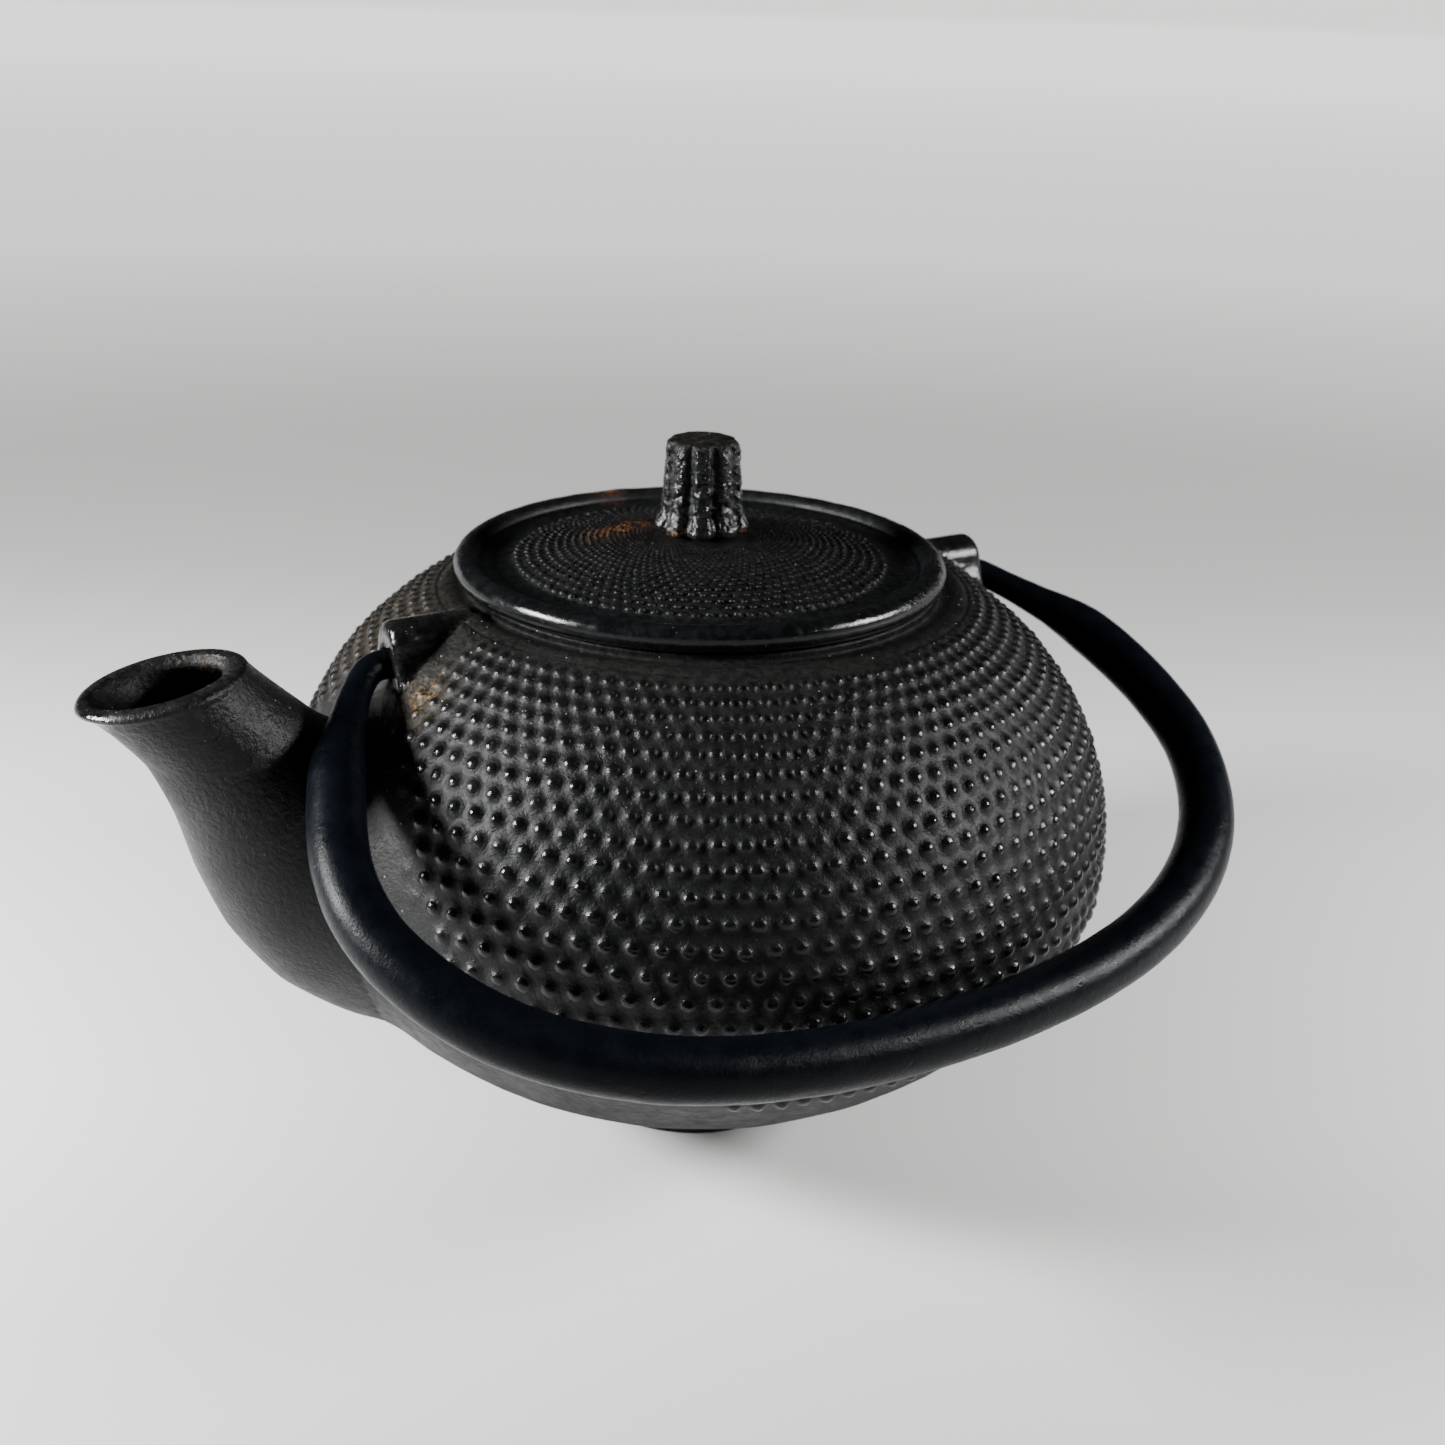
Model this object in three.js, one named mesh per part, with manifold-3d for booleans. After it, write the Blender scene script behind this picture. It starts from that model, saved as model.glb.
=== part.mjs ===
// A small cast-iron teapot with a bail handle, a loose lid and a hanging stainless infuser basket.
// Millimetres, +Z up. The origin is the centre of the foot, on the plane the pot stands on.
// The spout points along -X and the handle turns about the X line through the two lugs.
// At rest the handle lies folded against the belly on the -Y side.
import * as THREE from 'three';
import * as BufferGeometryUtils from 'three/addons/utils/BufferGeometryUtils.js';
import Module from 'manifold-3d';

const wasm = await Module();
wasm.setup();

// Driving dimensions of the pot casting
const BELLY_R = 57.1; // widest radius, at half the height of the hobnails
const BELLY_Z = 41.7; // height of the widest ring
const SHOULDER_H = 43.1; // height of the shoulder curve above the widest ring
const SHOULDER_P = 2.18; // superellipse power of the shoulder
const BASE_H = 39.1; // depth of the lower curve below the widest ring
const BASE_P = 1.775; // superellipse power of the lower half
const WALL = 3.4;
const CAVITY_TOP_H = 36.6; // the cavity's own shoulder height, lower so the neck is thick
const CAVITY_BASE_H = 35.4;

// Foot
const FOOT_R = 18.4;
const FOOT_EDGE = 0.4;
const FOOT_BLEND_R = 22; // where the belly curve takes over from the foot

// Neck
const NECK_TOP = 77.7;
const NECK_R = 31.6;
const LEDGE_R = 36; // outer edge of the smooth ledge around the neck
const SEAT_R = 29.9;
const SEAT_Z = 76.2;
const MOUTH_R = 27.3;

// Lid
const GAP = 0.3; // clearance left between loose pieces
const CUT = 2; // how far a cutting shape runs past what it cuts
const LID_UNDER = NECK_TOP + GAP;
const BEAD_R = 31.3; // centre radius of the raised rim
const BEAD_SIZE = 1.7;
const DISH_R = 25.1; // the hobnailed dome starts here
const DISH_Z = 80.1;
const DOME_Z = 84;
const LID_THICK = 3;
const SKIRT_OUTER_R = 25.2;
const SKIRT_WALL = 2;
const SKIRT_DEPTH = 5;
const VENT_R = 0.9;
const VENT_AT = new THREE.Vector2(20, -1.9);

// Knob
const KNOB_TOP = 96.4;
const KNOB_LOBES = 9;
const KNOB_LOBE_DEPTH = 0.07;
const TENON_R = 2.2;
const TENON_HEAD_R = 3.8;
const TENON_HEAD_H = 1.2;

// Lugs and handle
const PIVOT_Z = 72.2;
const PIN_R = 1.9;
const PIN_END_X = 42.4; // inner end of each handle pin
const SOCKET_END_X = 40.6;
const HANDLE_SHIFT = -0.6; // the loose handle has slid toward the spout
const SOCKET_R = PIN_R + 0.35;
const LUG_END_X = 45.5;
const LUG_START_X = 33.6;
const LUG_TOP_Z = 77.8;
const LUG_TOP_HALF = 3.3;
const LUG_FOOT_HALF = 4.3;
const LUG_FOOT_Z = PIVOT_Z - 10; // hidden inside the belly
const SLOT_START_X = 43.4;
const HANDLE_FOLD = THREE.MathUtils.degToRad(117.7); // from upright to rest

// Infuser basket
const FLANGE_R = 29.5;
const FLANGE_T = 0.8;
const FLANGE_Z = SEAT_Z + GAP;
const COLLAR_R = 26.9;
const COLLAR_DEPTH = 7;
const SHEET = 0.5;
const MESH_R = 26.1;
const MESH_T = 0.5;
const BASKET_BOTTOM = 30;
const BAND_H = 4;

const LATHE_STEPS = 56;

// ---------- shape helpers ----------

const point = (r, z) => new THREE.Vector2(r, z);

// Points of a superellipse arc of revolution, from height z0 to z1.
function bulge(radius, power, halfHeight, centreZ, z0, z1, steps) {
  const list = [];
  for (let i = 0; i <= steps; i++) {
    const z = z0 + ((z1 - z0) * i) / steps;
    const t = Math.min(Math.abs(z - centreZ) / halfHeight, 1);
    list.push(point(radius * (1 - t ** power) ** (1 / power), z));
  }
  return list;
}

// Height above the widest ring at which a superellipse has the given radius.
function rise(radius, fullRadius, power, halfHeight) {
  return halfHeight * (1 - (radius / fullRadius) ** power) ** (1 / power);
}

// Points of a circular arc in the profile plane, angles in degrees.
function arc(r, z, size, from, to, steps) {
  const list = [];
  for (let i = 0; i <= steps; i++) {
    const a = THREE.MathUtils.degToRad(from + ((to - from) * i) / steps);
    list.push(point(r + size * Math.cos(a), z + size * Math.sin(a)));
  }
  return list;
}

// Keeps only positions and shared vertices, drops collapsed triangles and turns faces outwards.
function weld(geometry) {
  const bare = geometry.clone();
  bare.deleteAttribute('normal');
  bare.deleteAttribute('uv');
  const merged = BufferGeometryUtils.mergeVertices(bare, 1e-4);
  const kept = [];
  const index = merged.index.array;
  for (let i = 0; i < index.length; i += 3) {
    const [a, b, c] = [index[i], index[i + 1], index[i + 2]];
    if (a !== b && b !== c && c !== a) kept.push(a, b, c);
  }
  merged.setIndex(kept);
  if (signedVolume(merged) < 0) {
    for (let i = 0; i < kept.length; i += 3) [kept[i], kept[i + 1]] = [kept[i + 1], kept[i]];
    merged.setIndex(kept);
  }
  return merged;
}

function signedVolume(geometry) {
  const p = geometry.attributes.position;
  const index = geometry.index.array;
  const corners = [new THREE.Vector3(), new THREE.Vector3(), new THREE.Vector3()];
  let sum = 0;
  for (let i = 0; i < index.length; i += 3) {
    corners.forEach((v, k) => v.fromBufferAttribute(p, index[i + k]));
    sum += corners[0].dot(corners[1].clone().cross(corners[2])) / 6;
  }
  return sum;
}

// Spins a profile of (radius, height) points about the Z axis.
function lathe(profile, steps = LATHE_STEPS) {
  return weld(new THREE.LatheGeometry(profile, steps).rotateX(Math.PI / 2));
}

function closedLathe(profile, steps = LATHE_STEPS) {
  return lathe([...profile, profile[0]], steps);
}

// Skins a row of rings that all hold the same number of points, and closes both ends.
function loft(rings) {
  const n = rings[0].length;
  const positions = rings.flat().flatMap((v) => [v.x, v.y, v.z]);
  const index = [];
  for (let i = 0; i + 1 < rings.length; i++) {
    for (let k = 0; k < n; k++) {
      const a = i * n + k;
      const b = i * n + ((k + 1) % n);
      index.push(a, b, b + n, a, b + n, a + n);
    }
  }
  for (const [row, flip] of [[0, true], [rings.length - 1, false]]) {
    const centre = rings[row].reduce((s, v) => s.add(v), new THREE.Vector3()).divideScalar(n);
    const hub = positions.length / 3;
    positions.push(centre.x, centre.y, centre.z);
    for (let k = 0; k < n; k++) {
      const a = row * n + k;
      const b = row * n + ((k + 1) % n);
      index.push(hub, flip ? b : a, flip ? a : b);
    }
  }
  const geometry = new THREE.BufferGeometry();
  geometry.setAttribute('position', new THREE.Float32BufferAttribute(positions, 3));
  geometry.setIndex(index);
  return weld(geometry);
}

function toSolid(geometry) {
  const welded = weld(geometry);
  return new wasm.Manifold(new wasm.Mesh({
    numProp: 3,
    vertProperties: new Float32Array(welded.attributes.position.array),
    triVerts: new Uint32Array(welded.index.array),
  }));
}

function toGeometry(solid) {
  const mesh = solid.getMesh();
  const geometry = new THREE.BufferGeometry();
  geometry.setAttribute('position', new THREE.Float32BufferAttribute(mesh.vertProperties, 3));
  geometry.setIndex([...mesh.triVerts]);
  return geometry;
}

// ---------- pot casting ----------

function potOutside() {
  const blendZ = BELLY_Z - rise(FOOT_BLEND_R, BELLY_R, BASE_P, BASE_H);
  const ledgeZ = BELLY_Z + rise(LEDGE_R, BELLY_R, SHOULDER_P, SHOULDER_H);
  return lathe([
    point(0, 0),
    point(FOOT_R - FOOT_EDGE, 0),
    point(FOOT_R, FOOT_EDGE),
    point(FOOT_R + 0.3, blendZ - 2.6),
    point(FOOT_R + 1.2, blendZ - 1),
    ...bulge(BELLY_R, BASE_P, BASE_H, BELLY_Z, blendZ, BELLY_Z, 12),
    ...bulge(BELLY_R, SHOULDER_P, SHOULDER_H, BELLY_Z, BELLY_Z, ledgeZ, 14).slice(1),
    point(LEDGE_R - 1.6, ledgeZ - 0.1),
    point(NECK_R + 0.9, ledgeZ - 0.2),
    point(NECK_R + 0.1, ledgeZ + 0.1),
    point(NECK_R, NECK_TOP),
    point(0, NECK_TOP),
  ]);
}

function potCavity() {
  const inner = BELLY_R - WALL;
  const neckZ = BELLY_Z + rise(MOUTH_R, inner, SHOULDER_P, CAVITY_TOP_H);
  return lathe([
    ...bulge(inner, BASE_P, CAVITY_BASE_H, BELLY_Z, BELLY_Z - CAVITY_BASE_H, BELLY_Z, 8),
    ...bulge(inner, SHOULDER_P, CAVITY_TOP_H, BELLY_Z, BELLY_Z, neckZ, 8).slice(1),
    point(MOUTH_R, SEAT_Z),
    point(SEAT_R, SEAT_Z),
    point(SEAT_R, NECK_TOP + CUT),
    point(0, NECK_TOP + CUT),
  ], 48);
}

// The spout is a row of elliptical sections. Each has its lower and upper point in the XZ plane,
// a half width along Y and a wall thickness.
const SPOUT = [
  { low: [-82.6, 72.7], high: [-63.0, 75.8], half: 8.3, wall: 2.9 },
  { low: [-79.4, 69.4], high: [-61.3, 73.9], half: 8.4, wall: 2.8 },
  { low: [-75.6, 64.5], high: [-58.9, 71.5], half: 8.9, wall: 2.8 },
  { low: [-72.8, 57.5], high: [-56.2, 68.9], half: 9.8, wall: 3.1 },
  { low: [-70.8, 49.6], high: [-53.0, 65.7], half: 11.2, wall: 3.5 },
  { low: [-67.8, 41.4], high: [-49.8, 62.0], half: 12.6, wall: 4.2 },
  { low: [-62.2, 32.9], high: [-46.2, 57.7], half: 13.9, wall: 5.0 },
  { low: [-53.4, 25.8], high: [-42.2, 53.0], half: 14.8, wall: 5.6 },
  { low: [-42.0, 22.4], high: [-38.0, 48.5], half: 15.2, wall: 6.0 },
];
const SPOUT_STEPS = 18;

// Reads one number of the spout sections as a smooth function of the way along the spout.
function spoutValue(read, t) {
  const curve = new THREE.CatmullRomCurve3(SPOUT.map((s, i) => new THREE.Vector3(i, read(s), 0)));
  return curve.getPoint(t).y;
}

function spoutSections() {
  const list = [];
  for (let i = 0; i <= SPOUT_STEPS; i++) {
    const t = i / SPOUT_STEPS;
    list.push({
      low: [0, 1].map((k) => spoutValue((s) => s.low[k], t)),
      high: [0, 1].map((k) => spoutValue((s) => s.high[k], t)),
      half: spoutValue((s) => s.half, t),
      wall: spoutValue((s) => s.wall, t),
    });
  }
  return list;
}

function spoutRing(section, inset, lift = 0, sides = 24) {
  const low = new THREE.Vector3(section.low[0], 0, section.low[1] + lift);
  const high = new THREE.Vector3(section.high[0], 0, section.high[1] + lift);
  const centre = low.clone().add(high).multiplyScalar(0.5);
  const along = high.clone().sub(centre);
  const scale = (along.length() - inset) / along.length();
  const ring = [];
  for (let k = 0; k < sides; k++) {
    const a = (k / sides) * 2 * Math.PI;
    const p = centre.clone().addScaledVector(along, scale * Math.cos(a));
    p.y = (section.half - inset) * Math.sin(a);
    ring.push(p);
  }
  return ring;
}

function spoutOutside() {
  return loft(spoutSections().map((s) => spoutRing(s, 0)));
}

// The bore starts above the mouth and runs into the cavity.
function spoutBore() {
  const above = spoutRing(SPOUT[0], SPOUT[0].wall, CUT);
  return loft([above, ...spoutSections().map((s) => spoutRing(s, s.wall))]);
}

// A hood seen from its end: sloping sides under a round top.
function lugSection() {
  const shape = new THREE.Shape();
  const springZ = LUG_TOP_Z - LUG_TOP_HALF;
  shape.moveTo(-LUG_FOOT_HALF, LUG_FOOT_Z);
  shape.lineTo(LUG_FOOT_HALF, LUG_FOOT_Z);
  shape.lineTo(LUG_TOP_HALF, springZ);
  shape.absarc(0, springZ, LUG_TOP_HALF, 0, Math.PI, false);
  shape.closePath();
  return shape;
}

// The slot seen from the end: open below, round above the pin.
function slotSection() {
  const shape = new THREE.Shape();
  shape.moveTo(-SOCKET_R, LUG_FOOT_Z - CUT);
  shape.lineTo(SOCKET_R, LUG_FOOT_Z - CUT);
  shape.lineTo(SOCKET_R, PIVOT_Z);
  shape.absarc(0, PIVOT_Z, SOCKET_R, 0, Math.PI, false);
  shape.closePath();
  return shape;
}

// Pushes a section drawn in the YZ plane out along +X from x0 to x1.
function alongX(shape, x0, x1) {
  const geometry = new THREE.ExtrudeGeometry(shape, {
    depth: x1 - x0,
    bevelEnabled: false,
    curveSegments: 10,
  });
  return geometry.rotateX(Math.PI / 2).rotateZ(Math.PI / 2).translate(x0, 0, 0);
}

function lug() {
  const hood = toSolid(alongX(lugSection(), LUG_START_X, LUG_END_X));
  return hood.subtract(toSolid(alongX(slotSection(), SLOT_START_X, LUG_END_X + CUT)));
}

function lugSocket() {
  const length = LUG_END_X + CUT - SOCKET_END_X;
  const bore = new THREE.CylinderGeometry(SOCKET_R, SOCKET_R, length, 20).rotateZ(Math.PI / 2);
  return toSolid(bore.translate(SOCKET_END_X + length / 2, 0, PIVOT_Z));
}

const mirrorX = (solid) => solid.mirror([1, 0, 0]);

function potBody() {
  const right = lug();
  const socket = lugSocket();
  const casting = toSolid(potOutside())
    .add(toSolid(spoutOutside()))
    .add(right)
    .add(mirrorX(right));
  return toGeometry(casting
    .subtract(toSolid(potCavity()).add(toSolid(spoutBore())))
    .subtract(socket)
    .subtract(mirrorX(socket)));
}

// ---------- lid ----------

const domeHeight = (r) => DOME_Z - (DOME_Z - DISH_Z) * (r / DISH_R) ** 2;

function lid() {
  const holeR = TENON_R + GAP;
  const skirtInner = SKIRT_OUTER_R - SKIRT_WALL;
  const underDome = [holeR, 9, 15, 20].map((r) => point(r, domeHeight(r) - LID_THICK));
  const overDome = [DISH_R, 21, 16, 10, holeR].map((r) => point(r, domeHeight(r)));
  const body = toSolid(closedLathe([
    ...underDome,
    point(skirtInner, LID_UNDER - 0.4),
    point(skirtInner, LID_UNDER - SKIRT_DEPTH),
    point(SKIRT_OUTER_R, LID_UNDER - SKIRT_DEPTH),
    point(SKIRT_OUTER_R, LID_UNDER),
    ...arc(BEAD_R, LID_UNDER + BEAD_SIZE, BEAD_SIZE, -90, 172, 8),
    point(BEAD_R - BEAD_SIZE - 0.7, DISH_Z - 0.25),
    ...overDome,
  ]));
  const vent = new THREE.CylinderGeometry(VENT_R, VENT_R, 10, 12).rotateX(Math.PI / 2);
  return toGeometry(body.subtract(toSolid(vent.translate(VENT_AT.x, VENT_AT.y, DISH_Z))));
}

function lobedRing(radius, z, depth, sides = KNOB_LOBES * 4) {
  const ring = [];
  for (let k = 0; k < sides; k++) {
    const a = (k / sides) * 2 * Math.PI;
    const r = radius * (1 + depth * Math.cos(KNOB_LOBES * a));
    ring.push(new THREE.Vector3(r * Math.cos(a), r * Math.sin(a), z));
  }
  return ring;
}

// A fluted post on a lobed foot, with a tenon whose peened head holds it under the lid.
function lidKnob() {
  const foot = DOME_Z + GAP;
  const under = DOME_Z - LID_THICK - GAP;
  const rows = [
    [TENON_HEAD_R - 0.6, under - TENON_HEAD_H, 0],
    [TENON_HEAD_R, under - TENON_HEAD_H / 2, 0],
    [TENON_HEAD_R - 0.3, under, 0],
    [TENON_R, under, 0],
    [TENON_R, foot, 0],
    [5.7, foot, KNOB_LOBE_DEPTH],
    [6.0, foot + 0.8, KNOB_LOBE_DEPTH],
    [5.4, foot + 1.9, KNOB_LOBE_DEPTH],
    [5.0, foot + 3.4, KNOB_LOBE_DEPTH],
    [4.7, KNOB_TOP - 2.2, KNOB_LOBE_DEPTH],
    [4.5, KNOB_TOP - 0.7, KNOB_LOBE_DEPTH],
    [4.0, KNOB_TOP, KNOB_LOBE_DEPTH / 2],
  ];
  return loft(rows.map(([r, z, depth]) => lobedRing(r, z, depth)));
}

// ---------- handle ----------

// Half of the bow, upright: distance along X, height above the pivot line, bar radius.
const HALF_BOW = [
  [PIN_END_X, 0, PIN_R],
  [46.8, 0.1, PIN_R],
  [49.8, 3.3, 2.0],
  [57.5, 15.0, 2.45],
  [61.6, 35.2, 3.3],
  [53.1, 52.6, 3.7],
  [36.9, 63.3, 3.8],
  [18.3, 68.0, 3.8],
];
const BOW_REACH = 69.1;
const GRIP_R = 3.8;

function handle() {
  const left = HALF_BOW.map(([x, z, r]) => [-x, z, r]);
  const all = [...left, [0, BOW_REACH, GRIP_R], ...[...HALF_BOW].reverse()];
  const path = new THREE.CatmullRomCurve3(all.map(([x, z]) => new THREE.Vector3(x, 0, z)));
  const sizes = new THREE.CatmullRomCurve3(all.map(([, , r]) => new THREE.Vector3(r, 0, 0)));
  const steps = 4 * (all.length - 1);
  const sides = 12;
  const side = new THREE.Vector3(0, 1, 0);
  const rings = [];
  for (let i = 0; i <= steps; i++) {
    const t = i / steps;
    const centre = path.getPoint(t);
    const radius = sizes.getPoint(t).x;
    const up = path.getTangent(t).cross(side);
    const ring = [];
    for (let k = 0; k < sides; k++) {
      const a = (k / sides) * 2 * Math.PI;
      ring.push(centre.clone()
        .addScaledVector(side, radius * Math.cos(a))
        .addScaledVector(up, radius * Math.sin(a)));
    }
    rings.push(ring);
  }
  return loft(rings);
}

// ---------- infuser basket ----------

// A flat flange on a short collar that the mesh is fixed inside.
function infuserRim() {
  const top = FLANGE_Z + FLANGE_T;
  return closedLathe([
    point(COLLAR_R, FLANGE_Z),
    point(COLLAR_R, top - COLLAR_DEPTH),
    point(COLLAR_R - SHEET, top - COLLAR_DEPTH),
    point(COLLAR_R - SHEET, top - 0.2),
    point(COLLAR_R - SHEET + 0.2, top),
    point(FLANGE_R - 0.2, top),
    point(FLANGE_R, top - FLANGE_T / 2),
    point(FLANGE_R - 0.2, FLANGE_Z),
  ], 48);
}

function tubeBetween(outer, thickness, bottom, top) {
  return closedLathe([
    point(outer, bottom),
    point(outer, top),
    point(outer - thickness, top),
    point(outer - thickness, bottom),
  ], 48);
}

function infuserWall() {
  return tubeBetween(MESH_R, MESH_T, BASKET_BOTTOM + SHEET + GAP, FLANGE_Z + FLANGE_T - 1);
}

// A pressed band with an inward lip that carries the floor disc.
function infuserBand() {
  const outer = MESH_R + GAP + SHEET;
  const lipR = MESH_R - 3;
  return closedLathe([
    point(lipR, BASKET_BOTTOM),
    point(outer - 0.3, BASKET_BOTTOM),
    point(outer, BASKET_BOTTOM + 0.3),
    point(outer, BASKET_BOTTOM + BAND_H),
    point(outer - SHEET, BASKET_BOTTOM + BAND_H),
    point(outer - SHEET, BASKET_BOTTOM + SHEET),
    point(lipR, BASKET_BOTTOM + SHEET),
  ], 48);
}

function infuserFloor() {
  const radius = MESH_R - MESH_T - GAP;
  const disc = new THREE.CylinderGeometry(radius, radius, MESH_T, 48).rotateX(Math.PI / 2);
  return disc.translate(0, 0, BASKET_BOTTOM + SHEET + GAP + MESH_T / 2);
}

// ---------- assembly ----------

const castIron = { color: 0x17181a, roughness: 0.5, metalness: 0.6 };
const handleSteel = { color: 0x111216, roughness: 0.38, metalness: 0.6 };
const stainless = { color: 0xb9bbbd, roughness: 0.3, metalness: 1 };

function piece(name, geometry, finish) {
  const mesh = new THREE.Mesh(geometry, new THREE.MeshStandardMaterial(finish));
  mesh.name = name;
  return mesh;
}

const teapot = new THREE.Group();
teapot.add(piece('pot_body', potBody(), castIron));

const bail = piece('handle', handle(), handleSteel);
bail.position.set(HANDLE_SHIFT, 0, PIVOT_Z);
bail.rotation.x = HANDLE_FOLD;
teapot.add(bail);

const basket = new THREE.Group();
basket.add(piece('infuser_rim', infuserRim(), stainless));
basket.add(piece('infuser_wall', infuserWall(), stainless));
basket.add(piece('infuser_band', infuserBand(), stainless));
basket.add(piece('infuser_floor', infuserFloor(), stainless));
teapot.add(basket);

const cover = new THREE.Group();
cover.add(piece('lid', lid(), castIron));
cover.add(piece('lid_knob', lidKnob(), castIron));
teapot.add(cover);

export default teapot;
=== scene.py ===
"""Looks for a small cast-iron teapot with an infuser basket. Shapes are in millimetres, objects in metres."""
import math

import bpy
import numpy as np
from mathutils import Matrix, Vector
from mathutils.bvhtree import BVHTree


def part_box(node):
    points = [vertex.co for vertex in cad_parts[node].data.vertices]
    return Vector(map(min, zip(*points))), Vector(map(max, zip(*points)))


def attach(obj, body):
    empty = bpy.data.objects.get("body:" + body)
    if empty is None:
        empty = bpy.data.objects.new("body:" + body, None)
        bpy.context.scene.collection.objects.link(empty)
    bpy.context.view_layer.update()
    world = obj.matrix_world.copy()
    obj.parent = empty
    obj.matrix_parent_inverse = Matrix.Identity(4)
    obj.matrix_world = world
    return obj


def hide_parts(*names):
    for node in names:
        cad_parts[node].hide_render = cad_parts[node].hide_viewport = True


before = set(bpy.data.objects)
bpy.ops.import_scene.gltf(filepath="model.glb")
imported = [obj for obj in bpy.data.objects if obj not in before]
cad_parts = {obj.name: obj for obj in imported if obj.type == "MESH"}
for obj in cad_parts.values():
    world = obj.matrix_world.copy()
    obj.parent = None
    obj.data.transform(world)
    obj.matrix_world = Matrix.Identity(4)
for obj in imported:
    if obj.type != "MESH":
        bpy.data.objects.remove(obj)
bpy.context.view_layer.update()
MM = 0.001
rng = np.random.default_rng(11)


def box_mm(node):
    low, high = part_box(node)
    return np.array(low) / MM, np.array(high) / MM


KNOB_TOP = box_mm("lid_knob")[1][2]
RIM_LOW, RIM_HIGH = box_mm("infuser_rim")
WALL_LOW, WALL_HIGH = box_mm("infuser_wall")
BAND_LOW, BAND_HIGH = box_mm("infuser_band")
FLOOR_LOW, FLOOR_HIGH = box_mm("infuser_floor")

# Pot casting
SKIN_R = 56.72  # belly radius between the hobnails
BELLY_Z = 41.7
SHOULDER_H, SHOULDER_P = 43.1, 2.18
BASE_H, BASE_P = 39.1, 1.79
WALL = 3.4
CAVITY_TOP_H, CAVITY_BASE_H = 36.6, 35.4
FOOT_R, FOOT_BLEND_R = 18.4, 22.0
NECK_TOP = 77.7
NECK_R, LEDGE_R = 31.6, 36.0
SEAT_R, SEAT_Z, MOUTH_R = 29.9, 76.2, 27.3
NAILS_ROUND = 110
NAIL_HEIGHT = 0.66
NAIL_ROW_STEP = 0.0565  # gap between rows, as a share of the radius there
NAIL_START, NAIL_END_Z = 1.5, 29.5  # distance below the ledge, and the height where the hobnails stop
LIP = 0.95  # rounding of the spout mouth's edge
MOUTH_RISE = 0.5

# Lugs and handle
PIVOT_Z = 72.2
SOCKET_R = 2.25
LUG_START_X, LUG_END_X, SLOT_START_X, SOCKET_END_X = 33.6, 45.5, 43.4, 40.6
LUG_TOP_Z, LUG_TOP_HALF, LUG_FOOT_HALF = 77.8, 3.3, 8.4
LUG_EDGE = 1.3
HANDLE_SHIFT = -0.6
HANDLE_FOLD = math.radians(117.7)
HALF_BOW = [
    (42.4, 0, 1.9), (46.8, 0.1, 1.9), (49.8, 3.3, 1.95), (53.5, 8.6, 2.35),
    (57.4, 15.0, 3.4), (61.6, 35.2, 3.55), (53.1, 52.6, 3.75), (36.9, 63.3, 3.8), (18.3, 68.0, 3.8),
]
BOW_TOP = (0, 69.1, 3.8)
ARM_LEAN = 0.5  # the arms stand off centre by this much, and by as much again at their bulge
ARM_BULGE, ARM_BULGE_REACH = 17, 9

# Lid and knob
LID_UNDER = 78.0
BEAD_R, BEAD_SIZE = 31.3, 1.7
DISH_R, DISH_Z, DOME_Z = 25.1, 80.1, 84.0
LID_NAILS_ROUND = 92
LID_ROW_STEP = 0.062
LID_SHIFT = np.array([-0.45, 0.25, 0])  # the loose lid rests a little off centre
KNOB_FLUTES = 9

# Infuser basket
WIRE_R = 0.13
WIRE_PITCH = 1.25

# Spout sections: lower point, upper point, half width, wall
SPOUT = [
    (-82.6, 72.7, -63.0, 75.8, 8.3, 2.9), (-79.4, 69.4, -61.3, 73.9, 8.4, 2.8),
    (-75.6, 64.5, -58.9, 71.5, 8.9, 2.8), (-72.8, 57.5, -56.2, 68.9, 9.8, 3.1),
    (-70.8, 49.6, -53.0, 65.7, 11.2, 3.5), (-67.8, 41.4, -49.8, 62.0, 12.6, 4.2),
    (-62.2, 32.9, -46.2, 57.7, 13.9, 5.0), (-53.4, 25.8, -42.2, 53.0, 14.8, 5.6),
    (-42.0, 22.4, -38.0, 48.5, 15.2, 6.0),
]


# ---------- numbers ----------

def smoothstep(low, high, x):
    t = np.clip((x - low) / (high - low), 0, 1)
    return t * t * (3 - 2 * t)


def lattice_noise(points, size, seed):
    """Smooth value noise from -1 to 1 at each point, with lumps of the given size."""
    p = np.asarray(points) / size + seed * 17.3
    cell = np.floor(p).astype(np.int64)
    f = p - cell
    f = f * f * (3 - 2 * f)
    total = np.zeros(len(p))
    for corner in range(8):
        step = np.array([corner & 1, corner >> 1 & 1, corner >> 2 & 1])
        c = cell + step
        h = (c[:, 0] * 73856093) ^ (c[:, 1] * 19349663) ^ (c[:, 2] * 83492791)
        h = (h * 2654435761 + 12345) & 0xFFFFFFFF
        h = ((h >> 13) ^ h) * 1274126177 & 0xFFFFFFFF
        value = h / 0x7FFFFFFF - 1
        weight = np.prod(np.where(step == 1, f, 1 - f), axis=1)
        total += value * weight
    return total


def even_out(path, passes):
    """Softens the bends of a path and leaves its straight ends where they are."""
    path = path.copy()
    held = 6
    for _ in range(passes):
        path[held:-held] += 0.5 * (path[held - 1:-held - 1] + path[held + 1:-held + 1] - 2 * path[held:-held])
    return path


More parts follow.
